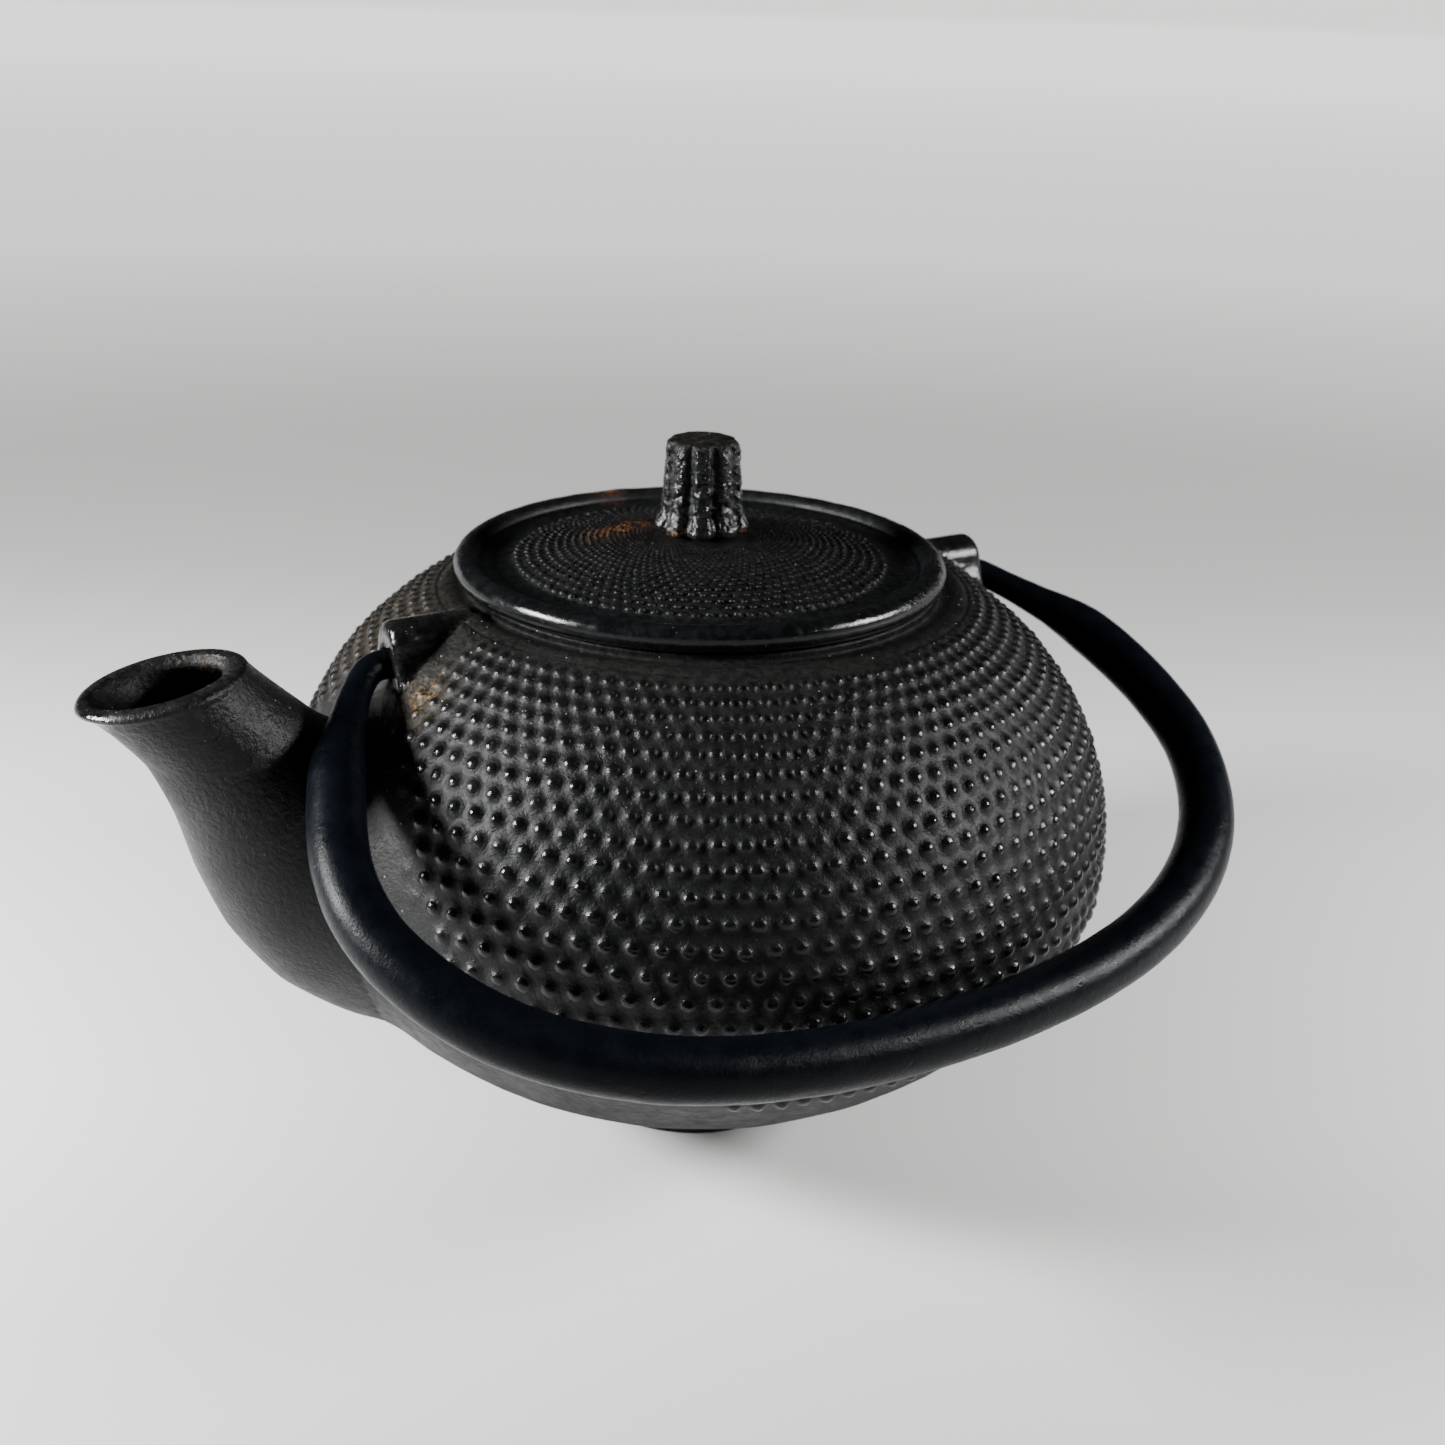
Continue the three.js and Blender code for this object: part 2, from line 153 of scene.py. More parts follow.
def catmull(points, count):
    """Centripetal Catmull-Rom curve through the points, sampled at count + 1 even steps."""
    p = np.array(points, float)
    out = []
    for i in range(count + 1):
        t = i / count * (len(p) - 1)
        k = min(int(t), len(p) - 2)
        w = t - k
        p1, p2 = p[k], p[k + 1]
        p0 = p[k - 1] if k > 0 else 2 * p[0] - p[1]
        p3 = p[k + 2] if k + 2 < len(p) else 2 * p[-1] - p[-2]
        d0, d1, d2 = (max(np.linalg.norm(b - a), 1e-4) ** 0.5 for a, b in ((p0, p1), (p1, p2), (p2, p3)))
        t1 = ((p1 - p0) / d0 - (p2 - p0) / (d0 + d1) + (p2 - p1) / d1) * d1
        t2 = ((p2 - p1) / d1 - (p3 - p1) / (d1 + d2) + (p3 - p2) / d2) * d1
        out.append(p1 + t1 * w + (-3 * p1 + 3 * p2 - 2 * t1 - t2) * w ** 2
                   + (2 * p1 - 2 * p2 + t1 + t2) * w ** 3)
    return np.array(out)


# ---------- meshes ----------

class Skin:
    """Collects points and faces for one closed surface."""

    def __init__(self):
        self.points = []
        self.faces = []
        self.count = 0

    def add(self, points):
        points = np.asarray(points, float).reshape(-1, 3)
        self.points.append(points)
        self.count += len(points)
        return np.arange(self.count - len(points), self.count)

    def quads(self, a, b, c, d):
        self.faces += np.stack([np.ravel(v) for v in (a, b, c, d)], 1).tolist()

    def tris(self, a, b, c):
        self.faces += np.stack([np.ravel(v) for v in (a, b, c)], 1).tolist()

    def stitch(self, above, below):
        """Joins two rings with the same number of points."""
        self.quads(above, below, np.roll(below, -1), np.roll(above, -1))

    def stitch_half(self, above, below):
        """Joins a ring to one with half as many points."""
        a0, a1, a2 = above[::2], above[1::2], np.roll(above[::2], -1)
        b1 = np.roll(below, -1)
        self.tris(a0, below, a1)
        self.tris(a1, below, b1)
        self.tris(a1, b1, a2)

    def cap(self, ring, centre, upward):
        hub = np.full(len(ring), self.add(centre)[0])
        if upward:
            self.tris(hub, ring, np.roll(ring, -1))
        else:
            self.tris(ring, hub, np.roll(ring, -1))

    def build(self, name):
        return mesh_object(name, np.concatenate(self.points), self.faces)


def mesh_object(name, points, faces):
    mesh = bpy.data.meshes.new(name)
    mesh.from_pydata((np.asarray(points) * MM).tolist(), [], faces)
    mesh.update()
    obj = bpy.data.objects.new(name, mesh)
    bpy.context.scene.collection.objects.link(obj)
    mesh.shade_smooth()
    return obj


def points_of(obj):
    flat = np.empty(len(obj.data.vertices) * 3)
    obj.data.vertices.foreach_get("co", flat)
    return flat.reshape(-1, 3) / MM


def normals_of(obj):
    flat = np.empty(len(obj.data.vertices) * 3)
    obj.data.vertices.foreach_get("normal", flat)
    return flat.reshape(-1, 3)


def set_points(obj, points):
    obj.data.vertices.foreach_set("co", (points * MM).ravel())
    obj.data.update()


def set_attribute(obj, name, values):
    layer = obj.data.attributes.new(name, "FLOAT", "POINT")
    layer.data.foreach_set("value", np.clip(values, 0, 1).astype(np.float32))


def circle(count):
    a = np.arange(count) / count * 2 * math.pi
    return np.cos(a), np.sin(a)


def revolve_ring(skin, r, z, count):
    c, s = circle(count)
    return skin.add(np.stack([r * c, r * s, np.full(count, z)], 1))


def lathe(name, profile, count, closed=False):
    """Spins (radius, height) points, listed from the top down the outside."""
    skin = Skin()
    rings = [revolve_ring(skin, r, z, count) for r, z in profile if r > 1e-6]
    for above, below in zip(rings, rings[1:]):
        skin.stitch(above, below)
    if closed:
        skin.stitch(rings[-1], rings[0])
    else:
        skin.cap(rings[0], [0, 0, profile[0][1]], True)
        skin.cap(rings[-1], [0, 0, profile[-1][1]], False)
    return skin.build(name)


def loft(name, rings):
    """Joins rings of equal length. Each ring runs clockwise seen from the first ring's side."""
    skin = Skin()
    ids = [skin.add(r) for r in rings]
    for a, b in zip(ids, ids[1:]):
        skin.stitch(a, b)
    skin.cap(ids[0], np.mean(rings[0], axis=0), True)
    skin.cap(ids[-1], np.mean(rings[-1], axis=0), False)
    obj = skin.build(name)
    if signed_volume(obj) < 0:
        obj.data.flip_normals()
    return obj


def signed_volume(obj):
    obj.data.calc_loop_triangles()
    p = points_of(obj)
    t = np.array([tri.vertices[:] for tri in obj.data.loop_triangles])
    return np.einsum("ij,ij->i", p[t[:, 0]], np.cross(p[t[:, 1]], p[t[:, 2]])).sum() / 6


def combine(base, tool, operation):
    """Joins the tool to the base or cuts it out of the base, and removes the tool."""
    mod = base.modifiers.new("combine", "BOOLEAN")
    mod.operation = operation
    mod.solver = "MANIFOLD"
    mod.object = tool
    graph = bpy.context.evaluated_depsgraph_get()
    made = bpy.data.meshes.new_from_object(base.evaluated_get(graph))
    base.modifiers.clear()
    old = base.data
    base.data = made
    bpy.data.meshes.remove(old)
    bpy.data.objects.remove(tool)
    return base


def arc(r, z, size, start, end, steps):
    """Points of a rounding about (r, z), between two angles in degrees."""
    a = np.radians(np.linspace(start, end, steps + 1))
    return [(r + size * math.cos(v), z + size * math.sin(v)) for v in a]


# ---------- hobnails on a surface of revolution ----------

class Profile:
    """A (radius, height) line with even distance along it."""

    def __init__(self, points):
        p = np.array(points, float)
        step = np.hypot(*np.diff(p, axis=0).T)
        self.s = np.concatenate([[0], np.cumsum(step)])
        self.p = p

    def at(self, s):
        return np.interp(s, self.s, self.p[:, 0]), np.interp(s, self.s, self.p[:, 1])

    def place(self, theta, s, height):
        r, z = self.at(s)
        r0, z0 = self.at(s - 0.4)
        r1, z1 = self.at(s + 0.4)
        size = np.hypot(r1 - r0, z1 - z0)
        nr, nz = -(z1 - z0) / size, (r1 - r0) / size
        out = r + height * nr
        return np.stack([out * np.cos(theta), out * np.sin(theta), z + height * nz], -1)


# Rings of one hobnail: points, share of its width, share of its height
NAIL_RINGS = ((12, 1.1, 0), (12, 0.8, 0.56), (6, 0.42, 0.9))


def nail_band(skin, profile, around, rows, height, width, mask):
    """Adds staggered domed nails. rows holds each row's distance along the profile."""
    pitch = 2 * math.pi / around
    rows = np.asarray(rows)
    gaps = np.diff(rows)
    gaps = np.concatenate([gaps[:1], gaps, gaps[-1:]])
    offset = np.arange(len(rows) + 1) % 2
    k = np.arange(4 * around)
    zigzags = []
    for i in range(len(rows) + 1):
        base = rows[i] if i < len(rows) else rows[-1] + gaps[-1]
        phase = (k - 2 * offset[i]) % 4
        drop = np.select([phase == 0, phase == 2], [2 / 3, 1 / 3], 1 / 2)
        theta = k / 4 * pitch
        zigzags.append(skin.add(profile.place(theta, base - drop * gaps[i], 0)))
    nail = np.arange(around)
    for i, s in enumerate(rows):
        r = profile.at(s)[0]
        theta = (nail + offset[i] / 2) * pitch
        side = skin.add(profile.place(theta + pitch / 2, np.full(around, s), 0))
        q = 4 * nail + 2 * offset[i]
        top, low = zigzags[i], zigzags[i + 1]
        over, under = [
            {step: ring[(q + step) % (4 * around)] for step in range(-2, 3)} for ring in (top, low)
        ]
        border = np.stack([
            over[0], over[1], over[2], side, under[2], under[1],
            under[0], under[-1], under[-2], np.roll(side, 1), over[-2], over[-1],
        ])
        span = r * pitch
        keep = mask(profile.place(theta, np.full(around, s), 0))
        tall = height * span * rng.uniform(0.86, 1.12, around) * keep
        wide = width * span * rng.uniform(0.94, 1.06, around)
        shift = rng.normal(0, 0.025, (2, around)) * span
        rings = []
        for count, share, level in NAIL_RINGS:
            a = np.arange(count) / count * 2 * math.pi
            u = np.sin(a)[:, None] * share * wide + shift[0]
            v = -np.cos(a)[:, None] * share * wide + shift[1]
            pts = profile.place(theta + u / r, s + v, np.broadcast_to(tall * level, u.shape))
            rings.append(skin.add(pts).reshape(count, around))
        crown = skin.add(profile.place(theta + shift[0] / r, s + shift[1], tall))
        for outer, inner in ((border, rings[0]), (rings[0], rings[1])):
            skin.quads(outer, inner, np.roll(inner, -1, 0), np.roll(outer, -1, 0))
        even, odd, upper = rings[1][::2], rings[1][1::2], rings[2]
        ahead = np.roll(upper, -1, 0)
        skin.tris(even, upper, odd)
        skin.tris(odd, upper, ahead)
        skin.tris(odd, ahead, np.roll(even, -1, 0))
        skin.tris(upper, np.broadcast_to(crown, upper.shape), ahead)
    return zigzags[0], zigzags[-1]


# ---------- pot casting ----------

def bulge(radius, power, half, z0, z1, steps):
    """Points down a superellipse from z0 to z1, on one side of the belly's widest height."""
    a = [math.asin(min(abs(z - BELLY_Z) / half, 1) ** (power / 2)) for z in (z0, z1)]
    out = []
    for v in np.linspace(a[0], a[1], steps + 1):
        r = radius * math.cos(v) ** (2 / power)
        z = half * math.sin(v) ** (2 / power)
        out.append((r, BELLY_Z + (z if max(z0, z1) > BELLY_Z else -z)))
    return out


def rise(radius, full, power, half):
    """How far from the belly's widest height its surface has this radius."""
    return half * (1 - (radius / full) ** power) ** (1 / power)


def belly_distance(p):
    """Roughly how far each point lies outside the belly surface."""
    r = np.hypot(p[:, 0], p[:, 1])
    z = p[:, 2] - BELLY_Z
    power = np.where(z > 0, SHOULDER_P, BASE_P)
    half = np.where(z > 0, SHOULDER_H, BASE_H)
    a = (r / SKIN_R) ** power + (np.abs(z) / half) ** power + 1e-9
    slope_r = a ** (1 / power - 1) * (r / SKIN_R) ** (power - 1) / SKIN_R
    slope_z = a ** (1 / power - 1) * (np.abs(z) / half) ** (power - 1) / half
    return (a ** (1 / power) - 1) / np.hypot(slope_r, slope_z)


def distance_to(obj):
    """A function that gives the signed distance from points to a closed mesh, up to a limit."""
    tree = BVHTree.FromObject(obj, bpy.context.evaluated_depsgraph_get())

    def measure(points, limit):
        out = np.full(len(points), float(limit))
        for i, p in enumerate(points):
            hit, normal, _, far = tree.find_nearest(Vector(p * MM), limit * MM)
            if hit is not None:
                out[i] = math.copysign(far / MM, (Vector(p * MM) - hit).dot(normal))
        return out

    return measure


def push(obj, chosen, amount):
    """Moves the chosen points along their normals."""
    p, n = points_of(obj), normals_of(obj)
    p[chosen] += n[chosen] * amount[:, None]
    set_points(obj, p)


def fillet_amount(distance, size):
    h = np.clip(1 - np.abs(distance) / size, 0, 1)
    return h * h * size / 4


def root_size(p):
    """The spout runs into the belly softly on its sides and with a tight crease below."""
    return 2.4 + 4.6 * smoothstep(30, 44, p[:, 2])


def spout_rows(count):
    cols = [catmull([(i, row[c], 0) for i, row in enumerate(SPOUT)], count)[:, 1] for c in range(6)]
    return np.stack(cols, 1)


def spout_ring(row, inset, tip_inset=None, lift=0.0, sides=80):
    low, high = np.array([row[0], 0, row[1] + lift]), np.array([row[2], 0, row[3] + lift])
    axis = (high - low) / np.linalg.norm(high - low)
    low = low + axis * (inset if tip_inset is None else tip_inset)
    high = high - axis * inset
    c, s = circle(sides)
    centre, along = (low + high) / 2, (high - low) / 2
    ring = centre + along * c[:, None]
    ring[:, 1] = (row[4] - inset) * s
    return ring


def spout_outside():
    rows = spout_rows(90)
    rings = []
    for a in np.radians([90, 65, 45, 25, 5]):
        inset = LIP * (1 - math.cos(a))
        rings.append(spout_ring(rows[0], inset - 0.25, lift=MOUTH_RISE - LIP * (1 - math.sin(a))))
    rings += [spout_ring(r, 0) for r in rows[3:]]
    return loft("spout", rings)


def spout_bore():
    rows = spout_rows(60)
    wall = rows[0][5]
    rings = [spout_ring(rows[0], wall - LIP - 0.5, tip_inset=0.8, lift=2.0)]
    for a in np.radians([90, 60, 30, 0]):
        inset = wall - LIP * math.sin(a)
        lift = MOUTH_RISE - LIP * (1 - math.sin(a))
        rings.append(spout_ring(rows[0], inset, tip_inset=inset - 0.7, lift=lift))
    rings += [spout_ring(r, r[5]) for r in rows[5:]]
    return loft("spout_bore", rings)


def lug_ring(x, inset, drop=0.0, steps=20):
    """A bell-shaped section: sloping sides under a round top."""
    top, foot = LUG_TOP_HALF - inset, LUG_FOOT_HALF - inset
    spring = LUG_TOP_Z - LUG_TOP_HALF - drop
    low = PIVOT_Z - 10
    a = np.linspace(0, math.pi, steps + 1)
    arch = [(top * math.cos(v), spring + top * math.sin(v)) for v in a]
    down = [(-top + (top - foot) * t, spring + (low - spring) * t) for t in np.linspace(0, 1, 13)[1:]]
    up = [(-y, z) for y, z in reversed(down)]
    return np.array([(x, y, z) for y, z in arch + down + up])


def lug(side):
    rings = [lug_ring(x, 0) for x in np.linspace(LUG_START_X, LUG_END_X - LUG_EDGE, 12)]
    for a in np.radians([15, 30, 45, 60, 75, 90]):
        inset = LUG_EDGE * (1 - math.cos(a)) * 0.75
        rings.append(lug_ring(LUG_END_X - LUG_EDGE * (1 - math.sin(a)), inset, inset * 0.5))
    hood = loft("lug", rings)
    slot = [lug_slot_ring(x) for x in (SLOT_START_X, LUG_END_X + 2)]
    combine(hood, loft("slot", slot), "DIFFERENCE")
    if side < 0:
        p = points_of(hood)
        p[:, 0] *= -1
        set_points(hood, p)
        hood.data.flip_normals()
    return hood


def lug_slot_ring(x):
    a = np.linspace(0, math.pi, 17)
    arch = [(x, SOCKET_R * math.cos(v), PIVOT_Z + SOCKET_R * math.sin(v)) for v in a]
    return np.array(arch + [(x, -SOCKET_R, PIVOT_Z - 11), (x, SOCKET_R, PIVOT_Z - 11)])


def socket(side):
    c, s = circle(32)
    rings = [np.stack([np.full(32, x), SOCKET_R * c, PIVOT_Z + SOCKET_R * s], 1)
             for x in (SOCKET_END_X * side, (LUG_END_X + 2) * side)]
    return loft("socket", rings)


def cavity():
    inner = SKIN_R + 0.4 - WALL
    neck_z = BELLY_Z + rise(MOUTH_R, inner, SHOULDER_P, CAVITY_TOP_H)
    below = bulge(inner, BASE_P, CAVITY_BASE_H, BELLY_Z, BELLY_Z - CAVITY_BASE_H + 0.001, 24)
    above = bulge(inner, SHOULDER_P, CAVITY_TOP_H, neck_z, BELLY_Z, 20)
    return lathe("cavity", [
        (SEAT_R + 0.4, NECK_TOP + 5), (SEAT_R + 0.4, NECK_TOP), (SEAT_R, NECK_TOP - 0.4),
        (SEAT_R, SEAT_Z), (MOUTH_R, SEAT_Z), *above, *below[1:],
    ], 128)


def belly(nail_mask):
    ledge_z = BELLY_Z + rise(LEDGE_R, SKIN_R, SHOULDER_P, SHOULDER_H)
    blend_z = BELLY_Z - rise(FOOT_BLEND_R, SKIN_R, BASE_P, BASE_H)
    curve = bulge(SKIN_R, SHOULDER_P, SHOULDER_H, ledge_z, BELLY_Z, 120)
    curve += bulge(SKIN_R, BASE_P, BASE_H, BELLY_Z, blend_z, 120)[1:]
    profile = Profile(curve)
    neck = [
        (SEAT_R - 1, NECK_TOP), (NECK_R - 0.5, NECK_TOP), (NECK_R - 0.15, NECK_TOP - 0.15),
        (NECK_R, NECK_TOP - 0.5), (NECK_R, ledge_z + 0.7), (NECK_R + 0.2, ledge_z + 0.25),
        (NECK_R + 0.8, ledge_z + 0.1), (LEDGE_R - 2.9, ledge_z + 0.3), (LEDGE_R - 2.2, ledge_z + 0.42),
        (LEDGE_R - 1.5, ledge_z + 0.4), (LEDGE_R - 0.9, ledge_z + 0.26), (LEDGE_R - 0.45, ledge_z + 0.02),
        (LEDGE_R - 0.2, ledge_z - 0.1),
    ]
    skin = Skin()
    dense = 4 * NAILS_ROUND
    rings = [revolve_ring(skin, r, z, dense) for r, z in neck]
    skin.cap(rings[0], [0, 0, NECK_TOP], True)
    rings.append(skin.add(profile.place(np.arange(dense) / dense * 2 * math.pi, np.full(dense, 0.0), 0)))
    for above, below in zip(rings, rings[1:]):
        skin.stitch(above, below)
    rows = [NAIL_START]
    while profile.at(rows[-1])[1] > NAIL_END_Z:
        rows.append(rows[-1] + NAIL_ROW_STEP * profile.at(rows[-1])[0])
    height = NAIL_HEIGHT / (2 * math.pi * SKIN_R / NAILS_ROUND)
    first, last = nail_band(skin, profile, NAILS_ROUND, rows, height, 0.31, nail_mask)
    skin.stitch(rings[-1], first)
    theta = np.arange(dense) / dense * 2 * math.pi
    s = rows[-1] + 3.2
    ring = skin.add(profile.place(theta, np.full(dense, s), 0))
    skin.stitch(last, ring)
    half = dense // 2
    theta = np.arange(half) / half * 2 * math.pi
    ends = np.linspace(s + 1.4, profile.s[-1], 22)
    below = skin.add(profile.place(theta, np.full(half, ends[0]), 0))
    skin.stitch_half(ring, below)
    for s in ends[1:]:
        ring, below = below, skin.add(profile.place(theta, np.full(half, s), 0))
        skin.stitch(ring, below)
    foot = [
        (FOOT_R + 1.8, blend_z - 0.6), (FOOT_R + 0.8, blend_z - 1.7), (FOOT_R + 0.3, blend_z - 3.2),
        (FOOT_R + 0.1, 1.2), (FOOT_R, 0.5), (FOOT_R - 0.15, 0.15), (FOOT_R - 0.5, 0), (14, 0), (7, 0),
    ]
    for r, z in foot:
        ring, below = below, revolve_ring(skin, r, z, half)
        skin.stitch(ring, below)
    skin.cap(below, [0, 0, 0], False)
    return skin.build("pot_casting")


def near_spout(points):
    """1 well away from the spout root and 0 on it, judged on the belly surface."""
    x, y, z = points.T
    half = 27 - 9 * smoothstep(40, 57, z) - 13 * smoothstep(57, 69, z)
    beside = np.where(x < 0, smoothstep(0.5, 3.0, np.abs(y) - half), 1)
    return beside * np.where(x < -22, smoothstep(31, 35, z), 1)


def near_lugs(points):
    """1 well away from the feet of the lugs and 0 on them."""
    _, y, z = points.T
    return np.where(z > 60, smoothstep(4.9, 5.8, np.abs(y) + np.maximum(0, 68 - z) * 1.5), 1)


def pot():
    casting = belly(lambda p: near_spout(p) * near_lugs(p))
    spout, lugs = spout_outside(), [lug(1), lug(-1)]
    p = points_of(casting)
    lumps = lattice_noise(p, 6.0, 1) * 0.10 + lattice_noise(p, 2.2, 2) * 0.05
    push(casting, slice(None), lumps * smoothstep(77.0, 72.0, p[:, 2]) * smoothstep(0.5, 4, p[:, 2]))
    p = points_of(casting)
    chosen = (p[:, 0] < -30) & (np.abs(p[:, 1]) < 26)
    push(casting, chosen, fillet_amount(distance_to(spout)(p[chosen], 7.0), root_size(p[chosen])))
    p = points_of(spout)
    push(spout, slice(None), fillet_amount(belly_distance(p), root_size(p)))
    for hood in lugs:
        p = points_of(casting)
        chosen = (p[:, 2] > 60) & (np.abs(p[:, 1]) < 9) & (np.hypot(p[:, 0], p[:, 1]) > NECK_R + 0.8)
        push(casting, chosen, fillet_amount(distance_to(hood)(p[chosen], 2.4), 2.4))
    combine(casting, spout, "UNION")
    for hood in lugs:
        combine(casting, hood, "UNION")
    combine(casting, cavity(), "DIFFERENCE")
    combine(casting, spout_bore(), "DIFFERENCE")
    for side in (1, -1):
        combine(casting, socket(side), "DIFFERENCE")
    casting.data.shade_smooth()
    return casting


# ---------- lid ----------

def dome_height(r):
    return DOME_Z - (DOME_Z - DISH_Z) * (r / DISH_R) ** 2


def lid_wear(points):
    """How much of each hobnail is left on the lid. The inner ones are worn."""
    r = np.hypot(points[:, 0], points[:, 1])
    return (0.6 + 0.4 * smoothstep(9, 20, r)) * rng.uniform(0.6, 1.2, len(points))


def lid():
    hole = 2.5
    profile = Profile([(r, dome_height(r)) for r in np.linspace(3, DISH_R + 0.6, 120)])
    skin = Skin()
    dense = 4 * LID_NAILS_ROUND
    rings = [revolve_ring(skin, r, dome_height(r), dense) for r in (hole, 4.5, 6.2)]
    rows = [profile.s[-1] - 1.1]
    while profile.at(rows[-1])[0] > 8.4:
        rows.append(rows[-1] - LID_ROW_STEP * profile.at(rows[-1])[0])
    rows = rows[::-1]
    first, last = nail_band(skin, profile, LID_NAILS_ROUND, rows, 0.26, 0.34, lid_wear)
    for above, below in zip(rings, rings[1:]):
        skin.stitch(above, below)
    skin.stitch(rings[-1], first)
    under = LID_UNDER
    inside = BEAD_R - BEAD_SIZE
    bead = arc(BEAD_R, under + BEAD_SIZE, BEAD_SIZE, 170, -90, 26)
    outer = [
        (DISH_R + 0.9, DISH_Z - 0.28), (DISH_R + 2.2, DISH_Z - 0.42), (inside - 1.6, DISH_Z - 0.36),
        (inside - 0.7, DISH_Z - 0.2), (inside - 0.2, DISH_Z + 0.05), *bead,
        (25.6, under), (25.2, under - 0.3), (25.2, under - 4.7), (24.9, under - 5), (23.6, under - 5),
        (23.2, under - 4.7), (23.2, under - 0.6), (22.4, dome_height(22.4) - 3.1),
        *((r, dome_height(r) - 3) for r in (20, 15, 10, 6, hole)),
    ]
    ring = last
    for r, z in outer:
        below = revolve_ring(skin, r, z, dense)
        skin.stitch(ring, below)
        ring = below
    skin.stitch(ring, rings[0])
    obj = skin.build("lid_casting")
    p = points_of(obj)
    lumps = lattice_noise(p, 3.5, 3) * 0.06 + lattice_noise(p, 1.1, 4) * 0.025
    push(obj, slice(None), lumps * smoothstep(under + 0.4, under + 1.6, p[:, 2]))
    c, s = circle(24)
    vent = loft("vent", [np.stack([20 + 0.9 * c, -1.9 + 0.9 * s, np.full(24, z)], 1) for z in (90, 74)])
    return combine(obj, vent, "DIFFERENCE")


# ---------- knob ----------

def knob():
    foot, top = DOME_Z + 0.3, KNOB_TOP
    under = DOME_Z - 3.3
    around = 216
    theta = np.arange(around) / around * 2 * math.pi
    groove = (0.5 - 0.5 * np.cos(KNOB_FLUTES * theta)) ** 2.5
    heights = np.linspace(foot, top - 0.9, 70)
    outline = np.array([
        (foot, 6.15), (foot + 0.7, 6.3), (foot + 1.4, 6.0), (foot + 2.4, 5.5), (foot + 4.5, 5.3),
        (foot + 8, 5.15), (top - 1.5, 5.0), (top - 0.9, 4.9),
    ])
    rows = [(under - 1.2, 3.2, 0), (under - 0.6, 3.8, 0), (under, 3.5, 0), (under, 2.2, 0), (foot, 2.2, 0)]
    rows += [(z, r, 1) for z, r in zip(heights, np.interp(heights, outline[:, 0], outline[:, 1]))]
    edge, edge_r = 0.85, 4.05
    for a in np.radians([20, 40, 60, 80]):
        rows.append((top - 0.9 + edge * math.sin(a), edge_r + edge * math.cos(a), math.cos(a)))
    rows += [(top - 0.05, r, 0) for r in (3.4, 2.4, 1.2)]
    rings = []
    for z, r, flute in rows[::-1]:
        r = r * (1 - 0.15 * flute * groove)
        rings.append(np.stack([r * np.cos(theta), r * np.sin(theta), np.full(around, z)], 1))
    obj = loft("knob_casting", rings)
    p = points_of(obj)
    tilted = p @ np.array([[0.80, 0.36, 0.48], [-0.60, 0.48, 0.64], [0.0, -0.8, 0.6]])
    rough = lattice_noise(tilted, 1.2, 5) * 0.14 + lattice_noise(tilted, 0.5, 6) * 0.12
    chips = -0.22 * smoothstep(0.3, 0.8, lattice_noise(tilted, 1.0, 7))
    shown = smoothstep(foot + 0.1, foot + 0.8, p[:, 2])
    capped = np.where(p[:, 2] > top - 0.3, 0.45, 1)
    push(obj, slice(None), (rough + chips - 0.05) * shown * capped)
    p = points_of(obj)
    p[:, 2] = np.minimum(p[:, 2], top)
    set_points(obj, p)
    return obj


# ---------- handle ----------

def handle():
    half = [(-x, d, r) for x, d, r in HALF_BOW]
    nodes = half + [BOW_TOP] + HALF_BOW[::-1]
    steps, sides = 320, 56
    path = even_out(catmull([(x, 0, d) for x, d, _ in nodes], steps), 26)
    size = catmull([(r, 0, 0) for _, _, r in nodes], steps)[:, 0]
    reach = path[:, 2]
    bulge_share = np.exp(-((reach - ARM_BULGE) / ARM_BULGE_REACH) ** 2)
    path[:, 0] += ARM_LEAN * smoothstep(2, 12, reach) + ARM_LEAN * bulge_share
    tangent = np.gradient(path, axis=0)
    tangent /= np.linalg.norm(tangent, axis=1)[:, None]
    side = np.array([0, 1.0, 0])
    up = np.cross(tangent, side)
    c, s = circle(sides)
    rings = []
    for i in range(steps + 1):
        rings.append(path[i] + size[i] * (side * c[:, None] + up[i] * s[:, None]))
    for end, i in ((0, 0), (-1, steps)):
        blunt = path[i] + (rings[end] - path[i]) * 0.8
        rings[end] = blunt
    obj = loft("bail", rings)
    p = points_of(obj)
    dents = lattice_noise(p, 4.0, 8) * 0.05 + lattice_noise(p, 1.4, 9) * 0.018
    pits = -0.09 * smoothstep(0.62, 0.9, lattice_noise(p, 0.9, 10))
    push(obj, slice(None), (dents + pits - 0.03) * smoothstep(47.5, 52, np.abs(p[:, 0]) + p[:, 2]))
    turn = Matrix.Translation((HANDLE_SHIFT * MM, 0, PIVOT_Z * MM)) @ Matrix.Rotation(HANDLE_FOLD, 4, "X")
    obj.data.transform(turn)
    return obj


# ---------- infuser basket ----------

def infuser_rim():
    out, low, top = RIM_HIGH[0], RIM_LOW[2], RIM_HIGH[2]
    inner = 26.4
    return lathe("pressed_rim", [
        *arc(inner + 0.45, top - 0.45, 0.45, 180, 90, 6), (out - 0.8, top),
        *arc(out - 0.4, top - 0.4, 0.4, 90, -90, 10), (out - 1.2, top - 0.55), (27.4, top - 0.55),
        *arc(27.4, top - 0.95, 0.45, 100, 170, 4), (26.9, top - 3.4), (26.98, top - 3.7), (26.9, top - 4.0),
        (26.9, low + 0.05), (26.85, low), (26.45, low), (inner, low + 0.05),
    ], 192, closed=True)


